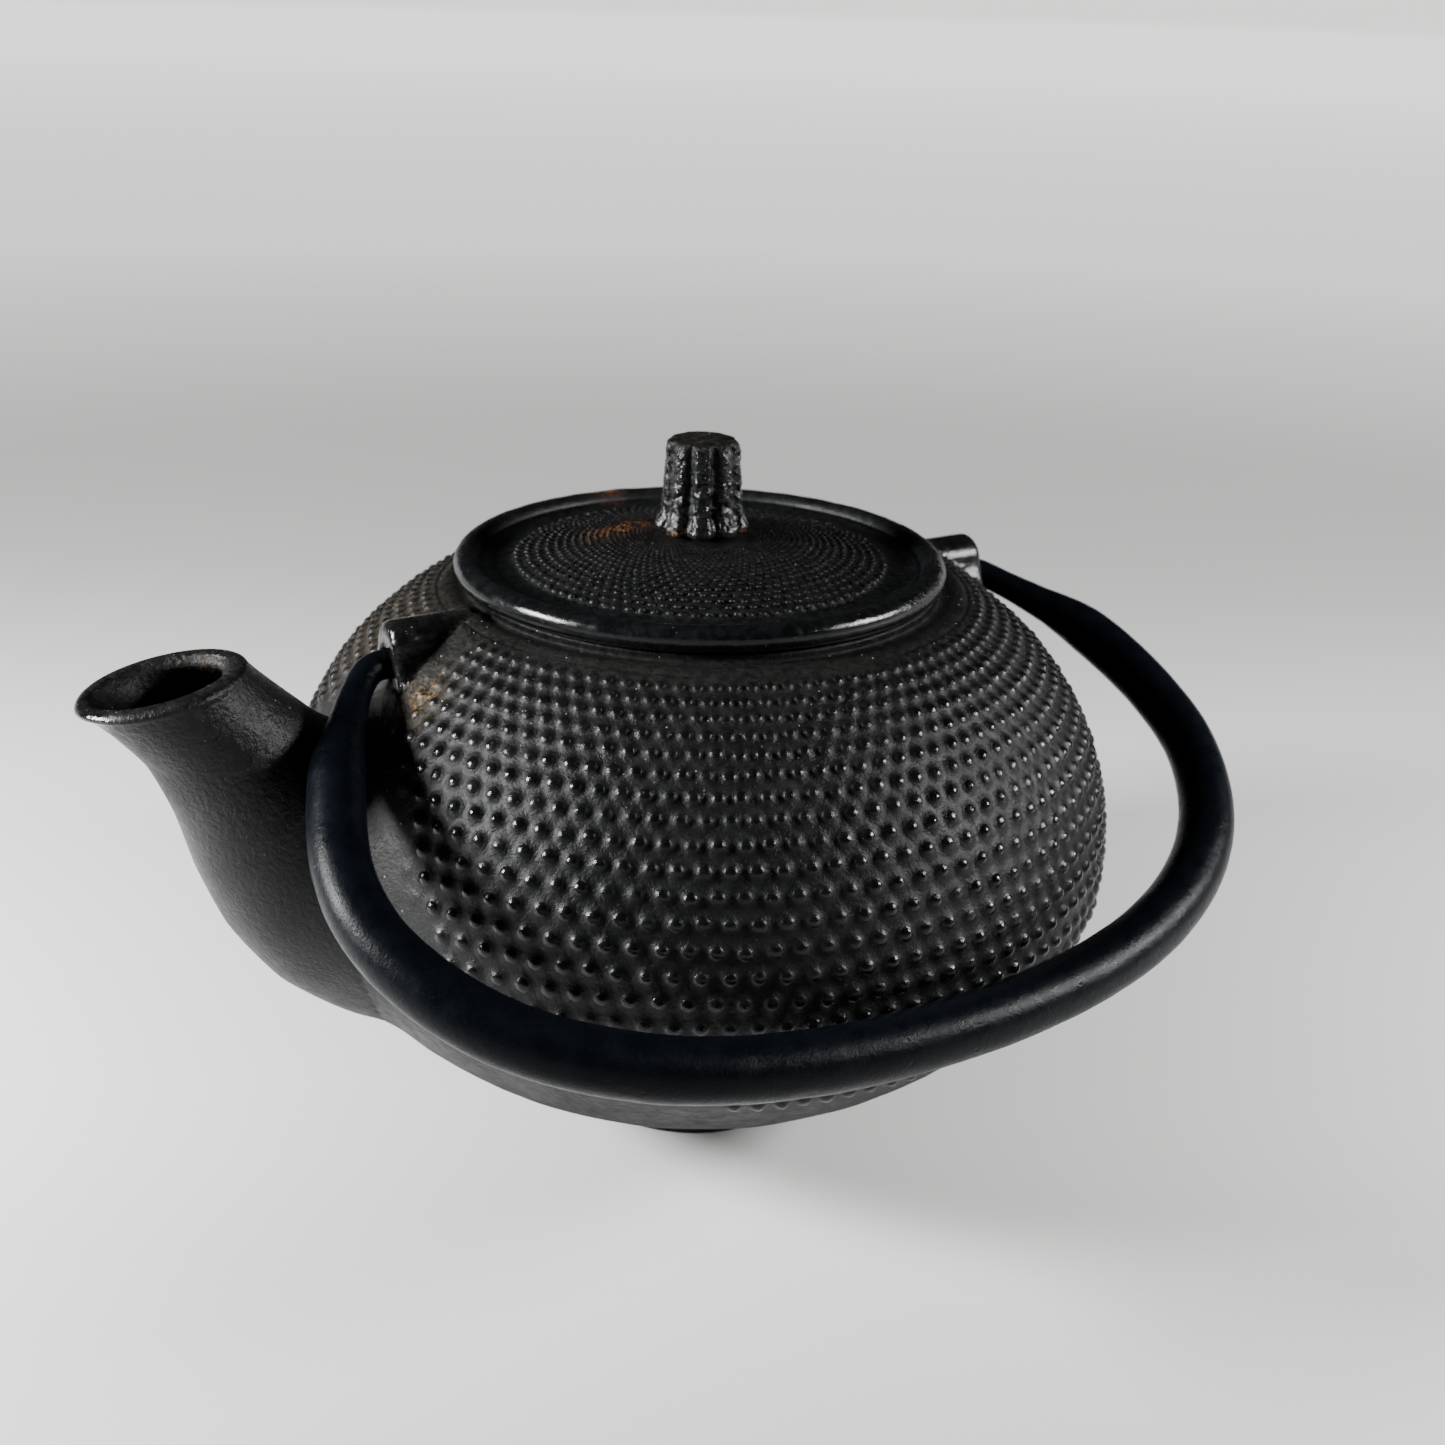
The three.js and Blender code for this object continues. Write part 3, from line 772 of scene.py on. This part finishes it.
def infuser_band():
    out, low, top = BAND_HIGH[0], BAND_LOW[2], BAND_HIGH[2]
    return lathe("pressed_band", [
        (out - 0.45, top), (out - 0.1, top), (out, top - 0.1), (out, low + 2.2), (out + 0.06, low + 2),
        (out, low + 1.8), *arc(out - 0.7, low + 0.7, 0.7, 0, -90, 8), (23.2, low), (23.1, low + 0.08),
        (23.1, low + 0.42), (23.2, low + 0.5), (out - 0.9, low + 0.5), (out - 0.55, low + 0.7),
        (out - 0.5, low + 1.1), (out - 0.5, top - 0.1),
    ], 192, closed=True)


def wire(skin, path, closed, normal):
    """A four-sided wire along the path; normal gives one cross direction at each point."""
    tangent = np.roll(path, -1, 0) - np.roll(path, 1, 0) if closed else np.gradient(path, axis=0)
    side = np.cross(tangent, normal)
    side /= np.linalg.norm(side, axis=1)[:, None]
    ids = [skin.add(path + WIRE_R * v) for v in (normal, side, -normal, -side)]
    for a, b in zip(ids, ids[1:] + ids[:1]):
        if closed:
            skin.quads(a, b, np.roll(b, -1), np.roll(a, -1))
        else:
            skin.quads(a[:-1], b[:-1], b[1:], a[1:])
    if not closed:
        for end, order in ((0, ids[::-1]), (-1, ids)):
            skin.quads(*[np.array([ring[end]]) for ring in order])


def infuser_wall():
    radius = WALL_HIGH[0] - 0.27
    low, high = WALL_LOW[2] + 0.1, WALL_HIGH[2]
    around = 2 * round(math.pi * radius / WIRE_PITCH)
    up = round((high - low) / WIRE_PITCH)
    skin = Skin()
    heights = np.linspace(low, high, 2 * up + 1)
    for k in range(around):
        a = k / around * 2 * math.pi
        wave = WIRE_R * np.sin(np.arange(2 * up + 1) * math.pi / 2) * (1 if k % 2 else -1)
        r = radius + wave
        normal = np.tile([math.cos(a), math.sin(a), 0], (len(r), 1))
        wire(skin, np.stack([r * math.cos(a), r * math.sin(a), heights], 1), False, normal)
    a = np.arange(2 * around) / (2 * around) * 2 * math.pi
    normal = np.stack([np.cos(a), np.sin(a), np.zeros(len(a))], 1)
    for j in range(up):
        r = radius - WIRE_R * np.cos(np.arange(2 * around) * math.pi / 2) * (1 if j % 2 else -1)
        z = heights[2 * j + 1]
        wire(skin, np.stack([r * np.cos(a), r * np.sin(a), np.full(len(a), z)], 1), True, normal)
    return skin.build("woven_wall")


def infuser_floor():
    radius = FLOOR_HIGH[0]
    z = (FLOOR_LOW[2] + FLOOR_HIGH[2]) / 2
    skin = Skin()
    lines = int(radius / WIRE_PITCH)
    for turn in (0, 1):
        for k in range(-lines, lines + 1):
            across = k * WIRE_PITCH
            reach = math.sqrt(radius ** 2 - across ** 2) - 0.05
            n = 2 * max(int(reach / WIRE_PITCH), 1) + 1
            along = np.linspace(-reach, reach, 2 * n + 1)
            wave = WIRE_R * np.cos(along / WIRE_PITCH * math.pi) * (1 if (k + turn) % 2 else -1)
            cols = [along, np.full(len(along), across), z + wave]
            path = np.stack(cols if turn == 0 else [cols[1], cols[0], cols[2]], 1)
            wire(skin, path, False, np.tile([0, 0, 1.0], (len(along), 1)))
    return skin.build("woven_floor")


# ---------- materials ----------

class Nodes:
    """Short names for building a shader tree. All shape scales are per millimetre."""

    def __init__(self, name):
        self.material = bpy.data.materials.new(name)
        self.material.use_nodes = True
        self.tree = self.material.node_tree
        self.shader = self.tree.nodes["Principled BSDF"]
        coord = self.tree.nodes.new("ShaderNodeTexCoord")
        self.mm = self.math_vector("SCALE", coord.outputs["Object"], 1000.0)

    def link(self, source, socket):
        if isinstance(source, (int, float)):
            socket.default_value = source
        elif isinstance(source, tuple):
            socket.default_value = (*source, 1.0) if len(socket.default_value) == 4 else source
        else:
            self.tree.links.new(source, socket)

    def math_vector(self, kind, value, factor):
        node = self.tree.nodes.new("ShaderNodeVectorMath")
        node.operation = kind
        self.link(value, node.inputs[0])
        node.inputs["Scale" if kind == "SCALE" else 1].default_value = factor
        return node.outputs["Vector"]

    def math(self, kind, a, b=0.0):
        node = self.tree.nodes.new("ShaderNodeMath")
        node.operation = kind
        self.link(a, node.inputs[0])
        self.link(b, node.inputs[1])
        return node.outputs[0]

    def noise(self, scale, detail=4.0, roughness=0.6, distortion=0.0, vector=None):
        node = self.tree.nodes.new("ShaderNodeTexNoise")
        node.inputs["Scale"].default_value = scale
        node.inputs["Detail"].default_value = detail
        node.inputs["Roughness"].default_value = roughness
        node.inputs["Distortion"].default_value = distortion
        self.link(vector or self.mm, node.inputs["Vector"])
        return node.outputs["Fac"]

    def cells(self, scale, vector=None):
        node = self.tree.nodes.new("ShaderNodeTexVoronoi")
        node.inputs["Scale"].default_value = scale
        self.link(vector or self.mm, node.inputs["Vector"])
        return node.outputs["Distance"], node.outputs["Color"]

    def ramp(self, value, low, high, out_low=0.0, out_high=1.0, kind="SMOOTHSTEP"):
        node = self.tree.nodes.new("ShaderNodeMapRange")
        node.interpolation_type = kind
        keys = ("Value", "From Min", "From Max", "To Min", "To Max")
        for key, v in zip(keys, (value, low, high, out_low, out_high)):
            self.link(v, node.inputs[key])
        return node.outputs["Result"]

    def greys(self, value, stops):
        """Warm greys picked by value from (position, level) stops."""
        node = self.tree.nodes.new("ShaderNodeValToRGB")
        self.link(value, node.inputs["Fac"])
        elements = node.color_ramp.elements
        while len(elements) < len(stops):
            elements.new(0.5)
        for element, (at, level) in zip(elements, stops):
            element.position = at
            element.color = (level, level * 0.998, level * 0.985, 1)
        return node.outputs["Color"]

    def red(self, colour):
        node = self.tree.nodes.new("ShaderNodeSeparateColor")
        self.link(colour, node.inputs[0])
        return node.outputs[0]

    def mix(self, factor, a, b):
        node = self.tree.nodes.new("ShaderNodeMix")
        node.data_type = "RGBA"
        self.link(factor, node.inputs["Factor"])
        self.link(a, node.inputs["A"])
        self.link(b, node.inputs["B"])
        return node.outputs["Result"]

    def attribute(self, name):
        node = self.tree.nodes.new("ShaderNodeAttribute")
        node.attribute_name = name
        return node.outputs["Fac"]

    def bump(self, height, distance_mm, below=None):
        node = self.tree.nodes.new("ShaderNodeBump")
        node.inputs["Distance"].default_value = distance_mm * MM
        self.link(height, node.inputs["Height"])
        if below is not None:
            self.link(below, node.inputs["Normal"])
        return node.outputs["Normal"]

    def finish(self, colour, metallic, roughness, normal, shine=0.5):
        self.link(shine, self.shader.inputs["Specular IOR Level"])
        self.link(colour, self.shader.inputs["Base Color"])
        self.link(metallic, self.shader.inputs["Metallic"])
        self.link(roughness, self.shader.inputs["Roughness"])
        self.link(normal, self.shader.inputs["Normal"])
        return self.material


def cast_iron(name, relief, stain_dark, stain_pale):
    """Black cast iron with sand grain, dust in the hollows and spots of rust. Its paler grey is plain rough
    cast and also painted light: bounce light from the floor on the lower belly and a painted sheen on the
    ledge. Its dust layer also carries a painted highlight on the knob's top.
    """
    n = Nodes(name)
    dust, rust, gloss, grain, worn = (n.attribute(k) for k in ("dust", "rust", "gloss", "grain", "worn"))
    broad = n.noise(0.12, 3.0)
    mottle = n.noise(0.7, 5.0)
    fine = n.noise(1.9, 5.0, 0.68)
    lumps = n.noise(1.3, 3.0, 0.55, 0.3)
    pits, _ = n.cells(1.9)
    colour = n.mix(n.ramp(mottle, 0.35, 0.7), (0.002, 0.0022, 0.0025), (0.005, 0.0055, 0.006))
    colour = n.mix(n.math("MULTIPLY", n.ramp(fine, 0.5, 0.75), 0.3), colour, (0.018, 0.018, 0.018))
    # Paler grey: plain rough cast, and also painted light from the floor's bounce on the lower belly and a
    # painted sheen on the ledge.
    rough_cast_and_lit_grey = n.mix(n.ramp(fine, 0.35, 0.65), (0.004, 0.0045, 0.0045), (0.022, 0.023, 0.022))
    colour = n.mix(worn, colour, rough_cast_and_lit_grey)
    # Dust film; on the knob's top it also stands for a painted highlight.
    dust_and_sheen_film = n.math("MULTIPLY", dust, n.ramp(n.noise(0.9, 6.0, 0.7), 0.35, 0.75))
    colour = n.mix(n.math("MULTIPLY", dust_and_sheen_film, 0.55), colour, (0.034, 0.0295, 0.022))
    far, tint = n.cells(1.15)
    sparse = n.ramp(n.red(tint), 0.80, 0.84)
    speck = n.math("MULTIPLY", n.ramp(far, 0.16, 0.08), sparse)
    speck = n.math("MULTIPLY", speck, n.ramp(dust, 0.05, 0.5, 0.1, 1.0))
    colour = n.mix(speck, colour, (0.42, 0.36, 0.26))
    stain = n.math("MULTIPLY", rust, n.ramp(n.noise(1.3, 6.0, 0.75), 0.47, 0.6))
    colour = n.mix(stain, colour, n.mix(n.ramp(fine, 0.35, 0.65), stain_dark, stain_pale))
    rough = n.ramp(mottle, 0.3, 0.75, 0.37, 0.5)
    rough = n.math("ADD", rough, n.math("MULTIPLY", n.ramp(broad, 0.35, 0.65), 0.08))
    rough = n.math("SUBTRACT", rough, n.math("MULTIPLY", gloss, 0.33))
    rough = n.math("ADD", rough, n.math("MULTIPLY", dust_and_sheen_film, 0.3))
    rough = n.math("ADD", rough, n.math("MULTIPLY", worn, 0.25))
    rough = n.math("ADD", rough, n.math("MULTIPLY", stain, 0.4))
    coarse = n.math("MULTIPLY", lumps, grain)
    normal = n.bump(coarse, 0.16 * relief)
    unpolished = n.math("SUBTRACT", 1.0, n.math("MULTIPLY", gloss, 0.7))
    normal = n.bump(n.math("MULTIPLY", fine, unpolished), 0.1, normal)
    normal = n.bump(n.math("MULTIPLY", n.ramp(pits, 0.0, 0.22), grain), 0.05 * relief, normal)
    normal = n.bump(speck, 0.08, normal)
    shine = n.math("ADD", n.ramp(worn, 0.0, 1.0, 0.18, 0.1), n.math("MULTIPLY", gloss, 0.13))
    return n.finish(colour, 0.0, rough, normal, shine)


def coated_steel(name):
    n = Nodes(name)
    mottle = n.noise(0.35, 4.0)
    fine = n.noise(3.2, 5.0, 0.7)
    peel = n.noise(1.1, 2.0, 0.5)
    far, tint = n.cells(0.55)
    chip = n.math("MULTIPLY", n.ramp(far, 0.2, 0.1), n.ramp(n.red(tint), 0.84, 0.88))
    colour = n.mix(n.ramp(mottle, 0.3, 0.7), (0.0014, 0.0021, 0.0034), (0.002, 0.003, 0.0047))
    colour = n.mix(n.math("MULTIPLY", n.ramp(fine, 0.6, 0.8), 0.12), colour, (0.03, 0.031, 0.033))
    rough = n.ramp(mottle, 0.3, 0.7, 0.24, 0.33)
    rough = n.math("ADD", rough, n.math("MULTIPLY", n.ramp(fine, 0.4, 0.7), 0.1))
    normal = n.bump(peel, 0.05)
    normal = n.bump(fine, 0.045, normal)
    normal = n.bump(n.math("SUBTRACT", 1.0, chip), 0.05, normal)
    return n.finish(colour, 0.0, rough, normal, 0.085)


def stainless(name, brushed):
    n = Nodes(name)
    lines = n.noise(1.0, 5.0, 0.7, vector=n.math_vector("MULTIPLY", n.mm, (0.4, 0.4, 14.0)))
    blotch = n.noise(0.2, 4.0)
    colour = n.mix(n.ramp(blotch, 0.3, 0.7), (0.5, 0.5, 0.49), (0.66, 0.655, 0.64))
    tea = n.math("MULTIPLY", n.ramp(n.noise(0.6, 6.0), 0.55, 0.8), 0.25)
    colour = n.mix(tea, colour, (0.24, 0.2, 0.14))
    streaks = n.math("MULTIPLY", lines, 0.12 if brushed else 0.04)
    rough = n.math("ADD", n.ramp(blotch, 0.3, 0.7, 0.2, 0.3), streaks)
    normal = n.bump(lines, 0.02 if brushed else 0.006)
    return n.finish(colour, 1.0, rough, normal)


def paint(obj, **layers):
    for name, values in layers.items():
        set_attribute(obj, name, values)


def blob(points, centre, size, squeeze=(1, 1, 1)):
    """A soft patch, 1 at its centre."""
    far = np.linalg.norm((points - np.array(centre)) / np.array(squeeze), axis=1)
    return np.exp(-(far / size) ** 2)


def paint_pot(obj):
    p = points_of(obj)
    n = normals_of(obj)
    r = np.hypot(p[:, 0], p[:, 1])
    out = belly_distance(p)
    on_belly = (out < 1.2) & (p[:, 2] > 8)
    nail = np.where(on_belly, smoothstep(0.15, 0.55, out), 0) * near_spout(p) * near_lugs(p)
    ledge = smoothstep(38.5, 36.0, r) * smoothstep(31.2, 31.8, r) * (p[:, 2] > 70)
    upper = smoothstep(56, 74, p[:, 2]) * smoothstep(0.2, 0.8, n[:, 2])
    spout = smoothstep(1.5, 5, out) * (p[:, 0] < -40)
    lug_side = (np.abs(np.abs(p[:, 0]) - 42) < 4) & (out > 0.8) & (np.abs(p[:, 1]) < 6) & (p[:, 2] > 67)
    inside = (out < -1.5) & (r < 29)
    lug_foot = blob(p, (-41, -8.5, 69.5), 4.2, (1.4, 1, 1.2))
    lug_foot += 0.6 * blob(p, (-52, -17, 54), 4.5, (1, 1, 3)) + 0.45 * blob(p, (-40, 12, 66), 9)
    dust = 0.3 * upper + 0.15 * ledge + 0.9 * lug_foot - 0.2 * nail
    rust = 0.95 * blob(p, (-43.5, -8, 69.5), 2.0, (1.5, 1, 1.5))
    rust += 0.16 * blob(p, (-34, 14, 69), 7.0, (2, 2, 1))
    rust += 0.8 * blob(p, (-66, 1, 68), 5.0) * (out > 2) * (n[:, 0] < 0.5) * inside_spout(p)
    # Painted light: the lower belly is painted paler for light bouncing up from the floor, besides being
    # plainer rough cast, and the ledge is painted paler for a sheen.
    low = np.maximum(smoothstep(30, 16, p[:, 2]), 0.3 * ledge)
    gloss = 0.9 * nail + 0.5 * ledge + np.where(lug_side, 0.8, 0) + 0.15 * spout + 0.9 * lip_mask(p)
    grain = 0.6 + 0.5 * spout * smoothstep(50, 66, p[:, 2]) + 0.3 * low - 0.35 * nail - 0.3 * ledge
    grain -= np.where(lug_side, 0.45, 0)
    grain -= 0.5 * lip_mask(p)
    dust = np.where(inside, 0.1, dust)
    gloss = np.where(inside | (inside_spout(p) > 0), 0, gloss)
    paint(obj, dust=dust, rust=rust, gloss=gloss, grain=grain, worn=low)


def inside_spout(p):
    """1 on the wall of the bore behind the mouth."""
    x, y, z = p.T
    along = (x + 82.6) / 19.6
    behind = (np.abs(along - 0.5) < 0.36) & (z > 60) & (z < 75.0 + 3.1 * along)
    return (behind & (np.abs(y) < 5.6 * np.sqrt(np.clip(1 - (2 * along - 1) ** 2, 0, 1)))).astype(float)


def lip_mask(p):
    x, _, z = p.T
    return smoothstep(-79.0, -81.5, x) * smoothstep(70.4, 71.6, z)


def paint_lid(obj):
    p = points_of(obj)
    n = normals_of(obj)
    r = np.hypot(p[:, 0], p[:, 1])
    facing_up = smoothstep(0.3, 0.9, n[:, 2])
    dome = smoothstep(DISH_R + 0.5, DISH_R - 0.5, r) * facing_up
    dust = 0.14 * dome + 0.06 * facing_up
    rust = blob(p, (-8.5, 7, 83.4), 2.4, (1.7, 1, 1)) + 0.9 * blob(p, (2, 31, 81), 2.0) * facing_up
    bead = smoothstep(28.8, 29.6, r) * (p[:, 2] > LID_UNDER)
    ahead = np.array(stage_axes()[0])
    near = smoothstep(-6, 12, -(p @ ahead))
    flat = smoothstep(DISH_R, DISH_R + 1, r) * smoothstep(30, 29, r) * facing_up
    sparkle = blob(p, (17.5, -26.5, 80), 7.5)
    gloss = bead * (0.15 + 0.72 * near - 0.2 * sparkle) + 0.25 * (1 - dome) * (1 - bead)
    grain = 0.8 * dome + 0.3 * flat + bead * (0.05 + 0.9 * sparkle)
    paint(obj, dust=dust, rust=rust, gloss=gloss, grain=grain)


def paint_knob(obj):
    p = points_of(obj)
    r = np.hypot(p[:, 0], p[:, 1])
    top = smoothstep(KNOB_TOP - 0.8, KNOB_TOP - 0.2, p[:, 2])
    ridge = smoothstep(4.55, 5.1, r) * (1 - top)
    foot = smoothstep(DOME_Z + 2.4, DOME_Z + 0.6, p[:, 2])
    rust = foot * (blob(p, (-5.4, -2.2, 85), 1.3) + blob(p, (4.6, -3.6, 85), 1.3))
    # The top face gets the full dust layer: grey dust, and also a painted highlight where light catches the
    # top.
    paint(obj, dust=top + 0.3 * foot, rust=rust, gloss=0.85 * ridge, grain=np.full(len(p), 0.9))


# ---------- stage ----------

HEADING = 0.5457  # the camera looks this far from +Y towards +X
TILT = 0.3919
ROLL = 0.0315
CAMERA_AT = (-0.117107, -0.198956, 0.151455)
LENS_MM, SENSOR_MM = 44.43, 36
FOCUS_AT, F_STOP = 0.205, 36
FLOOR_HALF = 9
FLOOR_NEAR, FLOOR_FAR = -0.4, 3.6  # distances from the pot at the ends of the floor's shading


def stage_axes():
    ahead = Vector((math.sin(HEADING), math.cos(HEADING), 0))
    return ahead, Vector((ahead.y, -ahead.x, 0))


def backdrop():
    """A pale paper floor, with a glow that grows with distance like a lit wall's, and painted shading that
    makes its grey darker towards the camera and far off.
    """
    ahead, _ = stage_axes()
    corners = np.array([(-1, -1, 0), (1, -1, 0), (1, 1, 0), (-1, 1, 0)]) * FLOOR_HALF
    paper = mesh_object("paper", corners / MM, [[0, 1, 2, 3]])
    n = Nodes("paper")
    coord = n.tree.nodes.new("ShaderNodeTexCoord").outputs["Object"]
    reach = {}
    for kind in ("DOT_PRODUCT", "LENGTH"):
        node = n.tree.nodes.new("ShaderNodeVectorMath")
        node.operation = kind
        n.link(coord, node.inputs[0])
        node.inputs[1].default_value = ahead
        reach[kind] = n.ramp(node.outputs["Value"], FLOOR_NEAR, FLOOR_FAR, kind="LINEAR")
    # Painted shading: the paper's grey is darker close to the camera and far behind the pot.
    painted_shading = ((0.07, 0.48), (0.085, 0.66), (0.096, 0.8), (0.12, 0.8), (0.16, 0.6), (1.0, 0.5))
    glows = ((0.12, 0.01), (0.155, 0.08), (0.208, 0.2), (0.25, 0.35), (0.33, 0.55), (1.0, 0.8))
    colour = n.greys(reach["DOT_PRODUCT"], painted_shading)
    n.link(n.greys(reach["LENGTH"], glows), n.shader.inputs["Emission Color"])
    n.shader.inputs["Emission Strength"].default_value = 2.0
    paper.data.materials.append(n.finish(colour, 0.0, 0.6, n.bump(n.noise(3.0), 0.01)))


def light(name, place, target, size, power):
    data = bpy.data.lights.new(name, "AREA")
    data.shape = "RECTANGLE"
    data.size, data.size_y = size
    data.energy = power
    obj = bpy.data.objects.new(name, data)
    obj.location = place
    obj.rotation_euler = (Vector(target) - Vector(place)).to_track_quat("-Z", "Y").to_euler()
    bpy.context.scene.collection.objects.link(obj)


def room():
    """Dark in reflections, a soft grey fill elsewhere, and pale to the camera behind the floor."""
    world = bpy.data.worlds.new("room")
    world.use_nodes = True
    tree = world.node_tree
    rays = tree.nodes.new("ShaderNodeLightPath")
    level = (0.08, 0.08, 0.079, 1)
    for ray, seen in (("Is Glossy Ray", (0.02, 0.0205, 0.022, 1)), ("Is Camera Ray", (1.4, 1.4, 1.37, 1))):
        pick = tree.nodes.new("ShaderNodeMix")
        pick.data_type = "RGBA"
        tree.links.new(rays.outputs[ray], pick.inputs["Factor"])
        if isinstance(level, tuple):
            pick.inputs["A"].default_value = level
        else:
            tree.links.new(level, pick.inputs["A"])
        pick.inputs["B"].default_value = seen
        level = pick.outputs["Result"]
    tree.links.new(level, tree.nodes["Background"].inputs["Color"])
    bpy.context.scene.world = world


def lights():
    ahead, right = stage_axes()
    up = Vector((0, 0, 1))
    aim = Vector((0, 0, 0.04))
    light("left", -ahead * 0.10 - right * 0.30 + up * 0.18, aim, (0.08, 0.07), 4.1)
    light("right", -ahead * 0.05 + right * 0.34 + up * 0.21, aim, (0.1, 0.08), 2.3)


def camera():
    ahead, right = stage_axes()
    look = ahead * math.cos(TILT) - Vector((0, 0, math.sin(TILT)))
    level_up = right.cross(look)
    across = right * math.cos(ROLL) + level_up * math.sin(ROLL)
    up = across.cross(look)
    data = bpy.data.cameras.new("camera")
    data.lens = LENS_MM
    data.sensor_width = SENSOR_MM
    data.clip_start, data.clip_end = 0.01, 20
    data.dof.use_dof = True
    data.dof.focus_distance = FOCUS_AT
    data.dof.aperture_fstop = F_STOP
    obj = bpy.data.objects.new("camera", data)
    basis = Matrix((across, up, -look)).transposed().to_4x4()
    obj.matrix_world = Matrix.Translation(CAMERA_AT) @ basis
    bpy.context.scene.collection.objects.link(obj)
    bpy.context.scene.camera = obj


# ---------- put together ----------

def dress(obj, material, body, node):
    """Gives a piece its material, the body it moves with and the CAD node it stands for."""
    obj.data.materials.clear()
    obj.data.materials.append(material)
    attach(obj, body)
    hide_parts(node)


iron = cast_iron("cast_iron", 1.2, (0.05, 0.03, 0.01), (0.32, 0.2, 0.07))
lid_iron = cast_iron("lid_iron", 1.8, (0.06, 0.02, 0.006), (0.26, 0.1, 0.028))
sheet = stainless("stainless_sheet", True)
mesh_wire = stainless("stainless_wire", False)

casting = pot()
paint_pot(casting)
dress(casting, iron, "pot", "pot_body")
for make, paint_it, node in ((lid, paint_lid, "lid"), (knob, paint_knob, "lid_knob")):
    cover = make()
    paint_it(cover)
    set_points(cover, points_of(cover) + LID_SHIFT)
    dress(cover, lid_iron, "lid", node)
dress(handle(), coated_steel("coated_steel"), "handle", "handle")
dress(infuser_rim(), sheet, "infuser", "infuser_rim")
dress(infuser_band(), sheet, "infuser", "infuser_band")
dress(infuser_wall(), mesh_wire, "infuser", "infuser_wall")
dress(infuser_floor(), mesh_wire, "infuser", "infuser_floor")
backdrop()
room()
lights()
camera()
